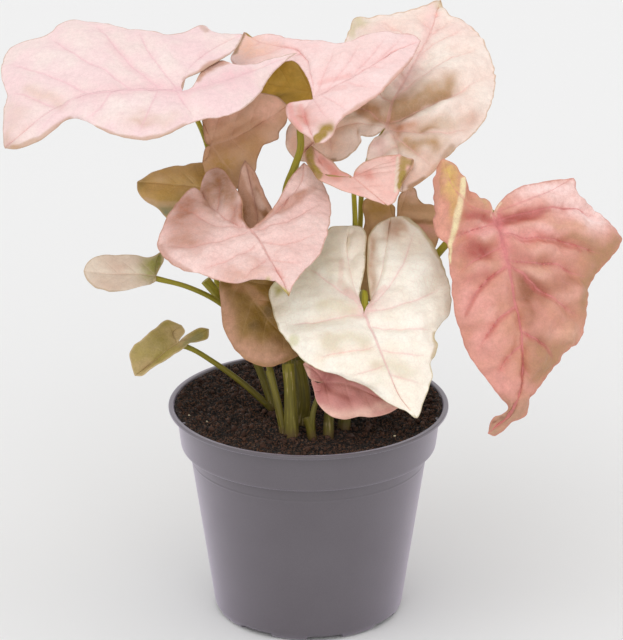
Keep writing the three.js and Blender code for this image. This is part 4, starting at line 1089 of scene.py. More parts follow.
            (0x8E8A5A, [([(186, 346), (200, 336)], 4, 0.7)]),
        ],
    },
    "leaf_low_centre": {
        "slot": "blade_bronze", "ground": 0xA07A50, "cloud": 0x8C6828, "vein": 0xC09A6C,
        "edge": 0xB07C58, "under": 0x8A6B44, "grain": 0.34, "spacing": 10.0, "quilt": 0.8,
        "side": 0.14, "rib": 0.25,
        "marks": [
            (0x8C6C2C, [((246, 302), 18, 26, 0.75), ((256, 330), 10, 14, 0.5)]),
            (0xCB9880, [
                ([(224, 296), (226, 324), (236, 346), (256, 358), (280, 358)], 7, 0.75),
                ((262, 346), 20, 8, 0.5),
            ]),
            (0x5E4424, [((254, 327), 6, 5, 0.6), ((268, 312), 5, 8, 0.5)]),
            (0xC08C6C, [([(236, 286), (250, 290), (262, 300)], 5, 0.5)]),
        ],
        "creases": [([(240, 290), (256, 312), (276, 336)], 5, -0.8)],
    },
    "leaf_front_ivory": {
        "slot": "blade_ivory", "ground": 0xFFF9EC, "cloud": 0xFCF2E2, "vein": 0xF3C0BE,
        "edge": 0xB5A268, "under": 0xC9BD94, "spacing": 14.0, "quilt": 1.7, "side": 0.28,
        "rib": 0.6,
        "laterals": {
            "left": [
                [(367, 311), (378, 300), (389, 287), (403, 266), (416, 226)],
                [(368, 312), (393, 307), (420, 298), (450, 284)],
                [(367, 325), (384, 328), (402, 328), (434, 330)],
                [(374, 349), (392, 352), (412, 354), (434, 356)],
                [(388, 374), (402, 378), (428, 386)],
            ],
            "right": [
                [(361, 311), (353, 301), (342, 293), (327, 281), (302, 262)],
                [(363, 314), (349, 314), (335, 316), (318, 319), (278, 326)],
                [(371, 347), (364, 349), (349, 350), (333, 353), (306, 362)],
                [(380, 367), (366, 371), (346, 379)],
            ],
        },
        "marks": [
            # Painted shade, grey-olive, beside the creases and on the upper left lobe.
            (0xD2C2A0, [
                ((332, 256), 14, 20, 0.2), ([(322, 307), (338, 307), (354, 309)], 6, 0.6),
                ([(330, 342), (350, 340), (364, 341)], 7, 0.55),
                ([(376, 364), (404, 370)], 7, 0.45), ((380, 384), 10, 6, 0.3),
            ]),
            # Partly the blade's own tan and brownish pink, partly painted shade along the notch,
            # where the margin bends away from the light.
            (0xC9A184, [
                ([(372, 240), (371, 262), (372, 285), (369, 303)], 5.5, 0.75),
                ((394, 229), 10, 9, 0.85), ([(352, 296), (340, 284)], 4, 0.3),
            ]),
            (0xEFC2BA, [
                ((365, 312), 8, 6, 0.7), ([(362, 306), (354, 298), (346, 292)], 3, 0.6),
                ([(340, 286), (341, 262)], 2.5, 0.25),
                ([(370, 305), (376, 296), (384, 288)], 3, 0.5),
            ]),
            # Painted shade below the side veins beside the joint.
            (0xE4C9BC, [([(371, 306), (388, 299)], 9, 0.55), ([(352, 300), (340, 291)], 7, 0.4)]),
            # Painted light: near-white patches that lighten places where the relief faces away from
            # the light.
            (0xFFFBF0, [
                ((420, 290), 18, 22, 0.6), ((330, 330), 22, 7, 0.6), ((396, 338), 16, 6, 0.6),
                ((392, 256), 8, 14, 0.5),
            ]),
            (0xC3BE6A, [((295, 341), 5, 7, 0.5), ((279, 289), 7, 6, 0.8), ((290, 272), 5, 4, 0.5)]),
            (0xB59B62, [
                ([(405, 218), (420, 227), (434, 246), (446, 270)], 2.6, 0.7),
                ([(434, 334), (436, 346), (432, 358)], 2.4, 0.6),
            ]),
        ],
        "creases": [
            ([(363, 313), (349, 313), (335, 315), (312, 319)], 4, -1.2),
            ([(371, 347), (364, 348), (349, 349), (333, 352), (318, 358)], 4, -1.1),
            ([(300, 300), (330, 302), (352, 305)], 6, 0.9), ([(340, 335), (360, 336)], 7, 0.9),
            ([(361, 310), (342, 292), (318, 274)], 4, 0.8),
            ([(358, 304), (349, 289), (343, 272), (341, 250)], 3.5, 0.6),
            ([(368, 311), (389, 287), (403, 266)], 5, 0.8),
            ([(372, 244), (373, 270), (370, 298)], 5, -1.0), ([(394, 224), (400, 240)], 6, -0.9),
            ([(367, 325), (384, 328), (402, 328)], 4, -0.8),
        ],
    },
    "leaf_front_rose": {
        "slot": "blade_rose", "ground": 0xD3928C, "cloud": 0xCE8880, "vein": 0xDA9C92,
        "edge": 0xD9A894, "under": 0x9C6A50, "spacing": 9.0, "quilt": 0.9, "side": 0.15, "rib": 0.3,
        "marks": [
            (0xA25450, [
                ((324, 383), 10, 8, 0.9), ([(318, 396), (324, 406)], 4, 0.3),
                ((350, 400), 12, 6, 0.4),
            ]),
            (0xEFC2B2, [
                ((306, 374), 4, 14, 0.8), ([(322, 411), (340, 416), (370, 413)], 5.4, 0.9),
                ((386, 409), 12, 6, 0.8),
            ]),
        ],
        "creases": [([(324, 381), (332, 390), (350, 396)], 4, -0.9)],
    },
    "leaf_right": {
        "slot": "blade_salmon", "ground": 0xDB9A8A, "cloud": 0xD1947B, "vein": 0xDA8684,
        "edge": 0xC98474, "under": 0xB98A5C, "grain": 0.3, "spacing": 13.0, "quilt": 3.0,
        "side": 0.45, "rib": 0.8,
        "laterals": {
            "left": [
                [(500, 219), (525, 212), (550, 208), (575, 209), (606, 218)],
                [(505, 233), (530, 236), (555, 239), (580, 247), (612, 258)],
                [(508, 261), (519, 261), (536, 262.5), (555, 263), (588, 278)],
                [(511, 266), (528, 277), (550, 295), (572, 311), (588, 328)],
                [(523, 332), (536, 339), (547, 347), (560, 366)],
                [(523, 368), (530, 378), (538, 390)],
            ],
            "right": [
                [(498, 222), (484, 226), (468, 232), (444, 240)],
                [(504, 246), (488, 252), (470, 264), (450, 278)],
                [(505, 267), (489, 278), (476, 292), (462, 318)],
                [(516, 306), (500, 318), (486, 336), (474, 358)],
                [(522, 345), (508, 358), (496, 378)],
            ],
        },
        "marks": [
            # Painted highlights on the bulges between the side veins.
            (0xEDB5A6, [
                ((532, 274), 16, 6, 0.8), ((562, 300), 11, 8, 0.8), ((550, 334), 12, 8, 0.7),
                ((490, 318), 11, 14, 0.6), ((482, 270), 11, 6, 0.6), ((540, 251), 26, 6, 0.7),
                ((536, 231), 22, 7, 0.8), ((478, 231), 15, 6, 0.8),
            ]),
            # Dark red-brown: partly the blade's own, partly painted shade below the side veins.
            (0xB0584F, [
                ([(500, 221), (518, 218), (538, 213)], 5.6, 0.95), ((481, 250), 15, 9, 1.0),
                ([(464, 215), (480, 217), (495, 221)], 5.2, 0.8),
                ([(510, 250), (530, 256)], 6, 0.45), ([(468, 280), (484, 272)], 6, 0.5),
            ]),
            # Dark brown: partly the blade's own, partly painted shade in the folds between the side
            # veins.
            (0x9E6449, [
                ((534, 293), 18, 12, 1.0), ([(516, 272), (530, 284)], 7, 0.7),
                ((528, 314), 7, 12, 0.6), ((560, 282), 14, 9, 0.55), ((538, 262), 16, 7, 0.5),
                ((540, 344), 12, 14, 0.7),
            ]),
            (0xB08560, [
                ([(618, 240), (600, 262), (588, 282), (584, 306)], 10, 0.85),
                ((596, 250), 18, 16, 0.6), ([(570, 336), (552, 358), (536, 380)], 7, 0.7),
                ((540, 356), 14, 18, 0.75), ((566, 318), 8, 10, 0.4), ((572, 240), 22, 5, 0.6),
            ]),
            # Painted highlights on the ridges and swells.
            (0xF0AAA2, [
                ((524, 204), 14, 8, 0.6), ((484, 300), 16, 20, 0.5), ((488, 345), 16, 20, 0.5),
                ((466, 300), 9, 22, 0.5), ((500, 384), 10, 14, 0.5),
                ([(508, 234), (530, 236), (548, 230)], 7, 0.9),
            ]),
            # Painted highlight on the top right lobe, and light patches by the joint.
            (0xF3C0B7, [
                ((552, 192), 40, 14, 1.0), ((594, 218), 22, 15, 1.0), ((574, 206), 24, 12, 0.9),
                ((478, 230), 16, 6, 0.7), ((536, 232), 22, 6, 0.7),
            ]),
            # Painted highlight, palest, on the top right lobe.
            (0xFFE6E1, [
                ((554, 189), 30, 9, 0.85), ((592, 215), 15, 10, 0.85), ((574, 204), 16, 7, 0.7),
            ]),
            # Painted shade in the grooves along the side veins and the rib, over their own dark
            # red.
            (0xB96459, [
                ([(510, 267), (524, 276), (540, 291), (556, 303)], 2.2, 0.6),
                ([(506, 268), (490, 280), (477, 294), (467, 314)], 2.2, 0.6),
                ([(516, 307), (501, 319), (487, 337)], 2.2, 0.5),
                ([(523, 334), (539, 342), (551, 356)], 2.2, 0.5),
                ([(504, 237), (530, 240), (556, 243), (580, 251)], 2, 0.45),
                ([(500, 221), (522, 215), (548, 211)], 2, 0.5),
                ([(497, 222), (480, 219), (466, 216)], 2, 0.5),
                (
                    [
                        (497, 219), (503, 240), (509, 264), (514, 295), (520, 325), (522, 352),
                        (520, 386),
                    ],
                    1.5, 0.6,
                ),
            ]),
            (0xDCA88E, [
                ((560, 226), 22, 5, 0.8), ((566, 332), 12, 9, 0.8), ((540, 270), 20, 4, 0.6),
                ((556, 300), 12, 5, 0.5),
            ]),
            (0xE28C8C, [
                ([(497, 216), (503, 240), (508, 264)], 5.5, 0.6), ((500, 224), 7, 8, 0.4),
                ([(470, 236), (486, 232), (496, 228)], 4, 0.4),
            ]),
            (0xD9B46A, [
                ((451, 181), 9, 16, 1.0), ((446, 168), 8, 8, 0.9), ((455, 204), 6, 14, 0.9),
            ]),
            (0xEDAA96, [
                ((442, 212), 8, 22, 0.9), ((438, 180), 4, 14, 0.6), ((446, 234), 7, 6, 0.9),
            ]),
            (0xF3E2B4, [
                ([(462.5, 181), (460.5, 204), (456, 226), (450.5, 244), (450, 262)], 2.4, 1.0),
            ]),
            (0xEFD9B8, [([(499, 203), (495, 208), (493, 214)], 2.6, 0.9)]),
            (0xCFA27C, [((485, 203), 8, 4, 0.95)]),
            (0xB08A70, [
                ((507, 414), 18, 12, 0.85), ((492, 430), 8, 10, 0.8), ((522, 402), 8, 8, 0.6),
            ]),
            (0x8A5A48, [((495, 422), 3, 2, 0.6), ((503, 418), 3, 2, 0.6), ((512, 409), 2, 2, 0.6)]),
        ],
        "creases": [
            ([(463, 180), (461, 204), (456, 228), (450, 246)], 3, 1.6),
            ([(470, 190), (468, 210), (464, 232)], 4, -1.2),
            ([(502, 222), (520, 219), (540, 215)], 5, -2.2),
            ([(505, 214), (530, 208), (560, 204)], 6, 1.2),
            ([(470, 248), (486, 249), (498, 246)], 6, -2.2), ([(522, 300), (540, 292)], 8, -2.4),
            ([(540, 228), (570, 236)], 7, 1.6), ([(548, 312), (566, 326)], 8, 1.2),
            ([(488, 200), (492, 212)], 3, -0.8), ([(470, 262), (490, 264)], 6, 1.2),
            ([(520, 400), (512, 412), (498, 424)], 4, -0.8),
        ],
    },
    "leaf_inner_right": {
        "slot": "blade_bronze", "ground": 0xD2AA7C, "cloud": 0xDAB48E, "vein": 0xD0AA80,
        "edge": 0xA0744A, "under": 0x8F7042, "spacing": 8.0, "quilt": 0.5, "side": 0.12, "rib": 0.3,
        "marks": [
            (0xB8924C, [((376, 210), 12, 11, 0.8), ((392, 206), 8, 4, 0.6)]),
            (0xE0A898, [([(396, 230), (416, 230), (436, 232)], 8, 0.95), ((376, 240), 8, 10, 0.6)]),
            # Pale pink lobe, painted lighter where the blades above shade it.
            (0xFBDACB, [((406, 193), 14, 9, 1.0)]),
            # Painted shade along the fold, and a darker streak beside the notch.
            (0x9E7444, [
                ([(396, 222), (416, 221), (436, 222)], 2.4, 0.7),
                ([(366, 214), (368, 232)], 4, 0.4),
            ]),
            (0xC9A27A, [([(400, 207), (434, 209)], 4, 0.7)]),
        ],
        "creases": [([(386, 222), (412, 222), (440, 223)], 4, -1.0)],
    },
    "leaf_back_olive": {
        # Its bright olive is partly the blade's own and partly painted light, shining through it
        # from behind.
        "slot": "blade_olive", "ground": 0xD6AC48, "cloud": 0xCC9E3A, "vein": 0xCFA850,
        "edge": 0x8A6630, "under": 0x8C7238, "spacing": 9.0, "quilt": 0.5, "side": 0.16, "rib": 0.3,
        "marks": [
            (0x84661A, [((274, 98), 20, 7, 1.0), ((260, 96), 6, 6, 0.7)]),
            # Painted light: paler yellow patches where the blade lies in the shade of the blades in
            # front.
            (0xE6C05C, [((292, 80), 14, 10, 0.8), ((272, 84), 10, 8, 0.8)]),
        ],
        "creases": [([(266, 96), (284, 84), (298, 64)], 4, -0.8), ([(276, 98), (296, 96)], 4, 0.6)],
    },
}

# Rows and columns of points in a large blade and in a small one, and the waves of its margin.
FINE = {"vein_steps": 50, "rib_steps": 90, "inner_columns": 12, "outer_columns": 42, "waves": 9}
PLAIN = {"vein_steps": 24, "rib_steps": 48, "inner_columns": 8, "outer_columns": 22, "waves": 6}
PUCKER_WAVES = 14
MARGIN_WOBBLE = 0.22
# Sizes of the swells of the skin, the depth of the groove over a rib, how far the skin is flat
# beside rib and edge, and the distance between side veins at which it puffs up in full.
FINE_SWELL = 5.0
BROAD_SWELL = 13.0
EDGE_SWELL = 16.0
RIB_GROOVE = 0.24
FLAT_REACH = 5.0
FULL_GAP = 12.0
# Marks wider than this fade softly, and finer ones end crisply.
CRISP_WIDTH = 5


def on_sheet(columns, rows):
    """Points of the sheet at these columns and rows."""
    across = (np.asarray(columns, dtype=float) - AXIS_COLUMN)[..., None] * SHEET_STEP * RIGHT
    up = (LIP_ROW - np.asarray(rows, dtype=float))[..., None] * SHEET_STEP * UPWARD
    return np.array([0.0, 0.0, POT_HEIGHT]) + across + up


EYE = on_sheet(SIGHT_COLUMN, SIGHT_ROW) + TOWARD * EYE_DISTANCE


def sight(column, row, toward):
    """The place seen at a column and row, so far in front of the sheet."""
    flat = on_sheet(column, row)
    return flat + (EYE - flat) * np.asarray(toward, dtype=float)[..., None] / EYE_DISTANCE


def smooth_through(points, steps, power=1):
    """Equal steps along a smooth curve through the points, or steps that run ahead."""
    points = np.asarray(points, dtype=float)
    ends = (2 * points[0] - points[1], 2 * points[-1] - points[-2])
    padded = np.vstack([ends[0], points, ends[1]])
    gaps = np.sqrt(np.linalg.norm(np.diff(padded, axis=0), axis=1))
    u = np.linspace(0, len(points) - 1, 80 * (len(points) - 1) + 1)
    k = np.minimum(u.astype(int), len(points) - 2)
    w = (u - k)[:, None]
    p0, p1, p2, p3 = (padded[k + i] for i in range(4))
    d0, d1, d2 = (gaps[k + i][:, None] for i in range(3))
    leave = ((p1 - p0) / d0 - (p2 - p0) / (d0 + d1) + (p2 - p1) / d1) * d1
    arrive = ((p2 - p1) / d1 - (p3 - p1) / (d1 + d2) + (p3 - p2) / d2) * d1
    bend = 3 * (p2 - p1) - 2 * leave - arrive
    curl = 2 * (p1 - p2) + leave + arrive
    curve = p1 + leave * w + bend * w**2 + curl * w**3
    lengths = np.concatenate([[0], np.cumsum(np.linalg.norm(np.diff(curve, axis=0), axis=1))])
    at = lengths[-1] * np.linspace(0, 1, steps + 1) ** power
    return np.stack([np.interp(at, lengths, curve[:, axis]) for axis in range(3)], axis=1)


def length_of(points):
    return float(np.linalg.norm(np.diff(points, axis=0), axis=1).sum())


def blade_points(blade, spots):
    """Where the spots of a blade lie in space."""
    spots = np.array([(*spot, 0.0)[:3] for spot in spots], dtype=float)
    drop = (spots[:, 1] - blade["joint"][1]) * SHEET_STEP
    aside = (spots[:, 0] - blade["joint"][0]) * SHEET_STEP
    nearer = blade["slope"] * drop + blade["turn"] * aside
    reach = np.sqrt(drop**2 + aside**2 + nearer**2) / ARCH_REACH
    toward = blade["stand"] + nearer - blade["arch"] * reach**2 + spots[:, 2]
    return sight(spots[:, 0], spots[:, 1], toward)


def seen_at(points):
    """Columns and rows of the sheet at which points are seen."""
    away = points - EYE
    depth = -(away @ TOWARD)
    columns = SIGHT_COLUMN + (away @ RIGHT) / depth * EYE_DISTANCE / SHEET_STEP
    rows = SIGHT_ROW - (away @ UPWARD) / depth * EYE_DISTANCE / SHEET_STEP
    return columns, rows


def pucker(points, size, draw):
    """A gentle unevenness, from -1 to 1, with swells of a size in millimetres."""
    total = np.zeros(len(points))
    for _ in range(PUCKER_WAVES):
        way = draw.normal(size=3)
        way *= 2 * math.pi / (size * (0.7 + 0.8 * draw.random()) * np.linalg.norm(way))
        total += np.sin(points @ way + 2 * math.pi * draw.random())
    return total / math.sqrt(PUCKER_WAVES)


def face_rows(index, flipped):
    """Faces between the rows of an index grid, without those that have no width."""
    faces = []
    for before, row in zip(index[:-1], index[1:]):
        for a, b, c, d in zip(before[:-1], row[:-1], row[1:], before[1:]):
            ring = (a, d, c, b) if flipped else (a, b, c, d)
            kept = [p for i, p in enumerate(ring) if p != ring[i - 1]]
            if len(kept) > 2:
                faces.append(kept)
    return faces


def blade_sheet(blade, grid, spacing, draw):
    """The middle surface of a blade: points, faces towards the eye, and marks."""
    veins, ribs = grid["vein_steps"], grid["rib_steps"]
    rows = veins + ribs
    joint, tip = blade_points(blade, [blade["joint"], blade["tip"]])
    rib = smooth_through([joint, *blade_points(blade, blade["rib"]), tip], ribs)
    rib_length = length_of(rib)
    rib_girth = 0.45 + 0.006 * rib_length
    rib_share = np.linspace(0, 1, ribs + 1)
    points = list(rib)
    marks = {
        "lateral": list(rib_share * rib_length / spacing),
        "midrib": [0.0] * (ribs + 1),
        "margin": list(0.25 * rib_length * (1 - rib_share)),
        "half": [0.0] * (ribs + 1),
        "lobed": [0.0] * (ribs + 1),
    }
    faces = []

    for side, flipped in (("left", False), ("right", True)):
        half = blade[side]
        lobe = blade_points(blade, [half["lobe"]])[0]
        vein = smooth_through([joint, *blade_points(blade, half["vein"]), lobe], veins)
        inner = smooth_through([joint, *blade_points(blade, half["inner"]), lobe], veins)
        outer = [lobe, *blade_points(blade, half["outer"]), tip]
        outer = smooth_through(outer, rows, half.get("lead", 1))
        nibbled = MARGIN_WOBBLE * pucker(outer, FINE_SWELL, draw)
        nibbled = nibbled * np.sin(np.linspace(0, math.pi, rows + 1))
        vein_length = length_of(vein)
        vein_share = np.linspace(0, 1, veins + 1)
        vein_girth = rib_girth * (1 - 0.85 * np.sqrt(vein_share))
        base = np.vstack([vein[::-1], rib[1:]])
        walked = np.concatenate([-vein_length * vein_share[::-1], rib_length * rib_share[1:]])
        girth = np.concatenate([vein_girth[::-1], rib_girth * (1 - 0.8 * rib_share[1:])])
        reach = np.linalg.norm(outer - base, axis=1)
        outer = outer + (outer - base) * (nibbled / np.maximum(reach, 1))[:, None]

        start = len(points)
        vein_index = np.concatenate([[0], start + np.arange(veins)])
        points.extend(vein[1:])
        marks["lateral"].extend(-vein_share[1:] * vein_length / spacing)
        marks["midrib"].extend([0.0] * veins)
        marks["margin"].extend(np.linalg.norm(inner - vein, axis=1)[1:])
        marks["half"].extend([0.0] * veins)
        marks["lobed"].extend([1.0] * veins)
        rib_index = np.arange(ribs + 1)
        base_index = np.concatenate([vein_index[::-1], rib_index[1:]])

        def add_patch(from_points, from_index, to_points, columns, swell, walk, size, which):
            """Rows of points from one line to another. Gives back their index grid."""
            index = np.zeros((len(from_points), columns + 1), dtype=int)
            index[:, 0] = from_index
            index[0, :] = from_index[0]
            index[-1, :] = from_index[-1]
            width = np.linalg.norm(to_points - from_points, axis=1)
            for i in range(1, len(from_points) - 1):
                share = np.arange(1, columns + 1) / columns
                row = from_points[i] + np.outer(share, to_points[i] - from_points[i])
                row += np.outer(swell(i, share), TOWARD)
                index[i, 1:] = len(points) + np.arange(columns)
                points.extend(row)
                lead = walk[i] / spacing
                marks["lateral"].extend(lead - 0.45 * share**2 * math.tanh(lead))
                marks["midrib"].extend(share * width[i] / max(size[i], 0.12))
                marks["margin"].extend((1 - share) * width[i])
                marks["half"].extend([which] * columns)
                marks["lobed"].extend([float(walk[i] < 0)] * columns)
            return index

        def no_swell(i, share):
            return 0 * share

        def outer_swell(i, share):
            along = i / rows
            ripple = blade["wave"] * math.sin(grid["waves"] * math.pi * along)
            height = blade["dome"] * np.sin(math.pi * share) + blade["fold"] * share
            return math.sin(math.pi * along) * (height + ripple * share**2)

        notch_walk = -vein_length * vein_share
        columns = grid["inner_columns"]
        patch = add_patch(vein, vein_index, inner, columns, no_swell, notch_walk, vein_girth, 0.0)
        faces.extend(face_rows(patch, flipped))
        columns, which = grid["outer_columns"], -1.0 if flipped else 1.0
        patch = add_patch(base, base_index, outer, columns, outer_swell, walked, girth, which)
        faces.extend(face_rows(patch, flipped))
    marks = {name: np.array(values) for name, values in marks.items()}
    return np.array(points), faces, marks


def normals_of(points, faces):
    """Normals of a sheet, each the mean of its faces'."""
    corners = np.array([(*face, face[-1])[:4] for face in faces])
    a, b, c, d = (points[corners[:, i]] for i in range(4))
    areas = np.cross(c - a, d - b)
    normals = np.zeros_like(points)
    for i in range(4):
        np.add.at(normals, corners[:, i], areas)
    return normals / np.maximum(np.linalg.norm(normals, axis=1), 1e-9)[:, None]


def off_stretches(columns, rows, line):
    """For each stretch of a line: how far each place is from it, and 1 to the right of its way."""
    for (c0, r0), (c1, r1) in zip(line[:-1], line[1:]):
        dc, dr = c1 - c0, r1 - r0
        t = np.clip(((columns - c0) * dc + (rows - r0) * dr) / (dc * dc + dr * dr), 0, 1)
        off = np.hypot(columns - c0 - t * dc, rows - r0 - t * dr)
        yield off, np.sign(dc * (rows - r0) - dr * (columns - c0))


def stroke_distance(columns, rows, line):
    """Distance of each place from a line of points, in steps of the sheet."""
    return np.minimum.reduce([off for off, _ in off_stretches(columns, rows, line)])


def signed_distance(columns, rows, line):
    """Distance from a line, above 0 to the right of its way, with its last stretch made longer."""
    line = np.array(line, dtype=float)
    line[-1] += (line[-1] - line[-2]) * 4
    nearest, signed = np.full(len(columns), np.inf), np.zeros(len(columns))
    for off, right in off_stretches(columns, rows, line):
        signed = np.where(off < nearest, off * right, signed)
        nearest = np.minimum(nearest, off)
    return signed


def set_laterals(look, marks, columns, rows):
    """Numbers the blade's places by the side veins that they lie between."""
    marks["gap"] = np.full(len(columns), look["spacing"])
    marks["lateral"][marks["half"] != 0] += 0.5 * ("laterals" in look)
    for side, which in (("left", 1.0), ("right", -1.0)):
        if "laterals" not in look:
            continue
        lines = look["laterals"][side]
        here = marks["half"] == which
        off = np.array([signed_distance(columns[here], rows[here], line) for line in lines])
        off *= SHEET_STEP * which
        passed = (off > 0).sum(axis=0)
        off = np.abs(off)
        spots = np.arange(off.shape[1])
        after = off[np.minimum(passed, len(lines) - 1), spots]
        before = off[np.maximum(passed - 1, 0), spots]
        gap = np.where((passed > 0) & (passed < len(lines)), before + after, look["spacing"])
        first = 1 - np.minimum(after / gap, 0.5)
        later = passed + np.minimum(before / gap, 1.0)
        last = passed + np.minimum(before / gap, 0.5)
        lateral = np.where(passed == 0, first, np.where(passed == len(lines), last, later))
        marks["lateral"][here] = lateral
        marks["gap"][here] = gap


def mark_strength(columns, rows, drift, patches):
    """How strongly a mark shows at each place. Wide marks run out softly, fine ones are crisp."""
    bare = np.ones(len(columns))
    for patch in patches:
        wide = patch[1]
        loose = min(1.0, (wide / 9) ** 2)
        x, y = columns + loose * drift[0], rows + loose * drift[1]
        if len(patch) == 4:
            (column, row), _, tall, strength = patch
            off = np.hypot((x - column) / wide, (y - row) / tall)
        else:
            line, _, strength = patch
            off = stroke_distance(x, y, line) / wide
        bare *= 1 - strength * np.exp(-(off ** (2 if wide > CRISP_WIDTH else 5)))
    return 1 - bare


def relief(look, points, marks, columns, rows, draw):
    """How far the blade stands proud of its middle surface, in millimetres."""
    off_vein = np.abs(marks["lateral"] - np.round(marks["lateral"]))
    pillow = np.sin(math.pi * off_vein) ** 0.8 * np.clip(marks["gap"] / FULL_GAP, 0, 1.2)
    from_rib = 1 - np.exp(-((marks["midrib"] / FLAT_REACH) ** 2))
    from_edge = 1 - np.exp(-((marks["margin"] / FLAT_REACH) ** 2))
    height = look["quilt"] * (pillow - 0.5) * from_rib * from_edge
    height -= RIB_GROOVE * np.exp(-((marks["midrib"] / 1.3) ** 2))
    broad = pucker(points, BROAD_SWELL, draw) * from_rib * (0.25 + 0.75 * from_edge)
    height += 0.4 * look["quilt"] * broad
    height += 0.13 * look["quilt"] * pucker(points, FINE_SWELL, draw)
    height += 0.4 * pucker(points, EDGE_SWELL, draw) * (1 - from_edge)
    for line, wide, depth in look.get("creases", []):
        height += depth * np.exp(-((stroke_distance(columns, rows, line) / wide) ** 2))
    return height


def blade_finish(blade, look):
    """Soft leaf skin: mottled, with veins of another colour and a fine dry edge."""
    leaf = Finish(blade["name"] + "_skin", Specular_IOR_Level=0.38)
    lateral, midrib = leaf.mark("lateral"), leaf.mark("midrib")
    margin, under = leaf.mark("margin"), leaf.mark("under")
    gap = leaf.mark("gap")
    off_vein = abs((lateral + 0.5).part() - 0.5) * gap
    off_twig = abs((lateral * 2 + 0.5).part() - 0.5) * gap * 0.5
    fade = leaf.rise(margin, 1.0, 15.0)
    side_vein = leaf.rise(off_vein, 0.65, 0.1) * fade
    twig = leaf.rise(off_twig, 0.5, 0.1) * fade
    halo = leaf.rise(off_vein, 2.8, 0.2) * fade
    rib = leaf.rise(midrib, 1.3, 0.5) * (1 - 0.55 * leaf.mark("lobed"))
    cells = leaf.node(
        "ShaderNodeTexVoronoi",
        {"feature": "DISTANCE_TO_EDGE"},
        {"Vector": leaf.place(), "Scale": 1 / (2.6 * MM)},
    )
    net = leaf.rise(cells, 0.10, 0.02)
    mottle = leaf.cloud(14, detail=5)
    fleck = leaf.cloud(2.4, detail=4)
    grain = leaf.cloud(0.7, detail=2)

    colour = leaf.mix(leaf.rise(mottle, 0.35, 0.65), paint(look["ground"]), paint(look["cloud"]))
    uneven = 1 + look.get("ragged", 1) * (0.9 * (mottle - 0.5) + 0.8 * (fleck - 0.5))
    # The marks: the blade's own tints, painted shade and painted highlights.
    for i, (mark_tint_and_painted_light, _) in enumerate(look["marks"]):
        laid = leaf.mark(f"mark_{i}")
        colour = leaf.mix(laid * uneven, colour, paint(mark_tint_and_painted_light))
    lines = side_vein * look["side"] + halo * (0.4 * look["side"]) + twig * (0.2 * look["side"])
    colour = leaf.mix(lines + net * 0.08, colour, paint(look["vein"]))
    colour = leaf.mix(rib * look["rib"], colour, paint(look["vein"]))
    dry = leaf.rise(margin + (fleck - 0.5) * 1.2, 0.9, 0.25)
    colour = leaf.mix(dry * 0.55, colour, paint(look["edge"]))
    beneath = leaf.mix(side_vein * 0.3 + rib * 0.5, paint(look["under"]), paint(look["vein"]))
    colour = leaf.mix(under, colour, beneath)
    speckle = look.get("grain", 0.2)
    leaf.feed("Base Color", leaf.shaded(colour, 1 - speckle + speckle * (fleck + grain)))
    leaf.feed("Roughness", 0.46 + 0.16 * fleck + 0.08 * under)
    folds = 0.6 * leaf.cloud(1.6, detail=3) + 0.15 * grain - 0.15 * net - 0.35 * side_vein
    leaf.feed("Normal", leaf.bump(folds, 0.26))
    return leaf


# Where each blade meets its stalk: a place under the blade and the way it faces.
joints = {}


def make_blade(blade, number):
    """A blade's two faces with the rim between them, and its marks."""
    look = LOOKS[blade["name"]]
    draw = np.random.default_rng(100 + number)
    grid = FINE if blade["fine"] else PLAIN
    points, faces, marks = blade_sheet(blade, grid, look["spacing"], draw)
    columns, rows = seen_at(points)
    set_laterals(look, marks, columns, rows)
    height = relief(look, points, marks, columns, rows, draw)
    points = points + normals_of(points, faces) * height[:, None]
    normals = normals_of(points, faces)
    keel = KEEL_DEPTH * np.exp(-((marks["midrib"] / 1.2) ** 2)) * np.clip(marks["margin"] / 4, 0, 1)
    thinned = LEAF_THICKNESS * (0.6 + 0.4 * np.clip(marks["margin"] / 3, 0, 1))
    upper = points + normals * (thinned / 2)[:, None]
    lower = points - normals * (thinned / 2 + keel)[:, None]
    joints[blade["name"]] = (lower[0], normals[0])
    count = len(points)
    all_faces = [*faces, *([p + count for p in reversed(face)] for face in faces)]
    edges = {(face[i - 1], face[i]) for face in faces for i in range(len(face))}
    rim = [(p, q) for p, q in edges if (q, p) not in edges]
    all_faces.extend((q, p, p + count, q + count) for p, q in rim)
    drift = [3 * pucker(points, 11.0, draw) + pucker(points, 4.0, draw) for _ in range(2)]
    for i, (_, patches) in enumerate(look["marks"]):
        marks[f"mark_{i}"] = mark_strength(columns, rows, drift, patches)
    doubled = {name: np.concatenate([values, values]) for name, values in marks.items()}
    doubled["under"] = np.repeat([0.0, 1.0], count)
    name = blade["name"].replace("leaf_", "blade_")
    return new_piece(name, np.vstack([upper, lower]), all_faces, doubled, sharp=60)


for number, blade in enumerate(BLADES):
    look = LOOKS[blade["name"]]
    dress(make_blade(blade, number), blade_finish(blade, look), look["slot"], blade["name"])

# ---- Shoots ----
# Each shoot is one grown piece: leaf bases that roll round each other as green sheaths, and the
# slender stalks that leave them for the blades. They are soft, fibrous and a little glossy.

ROOT_DEPTH = 10.0
STALK_RADIUS = 1.9
STALK_TIP_RADIUS = 1.0
STALK_STEP = 1.6
STALK_SIDES = 18
SHEATH_SIDES = 36

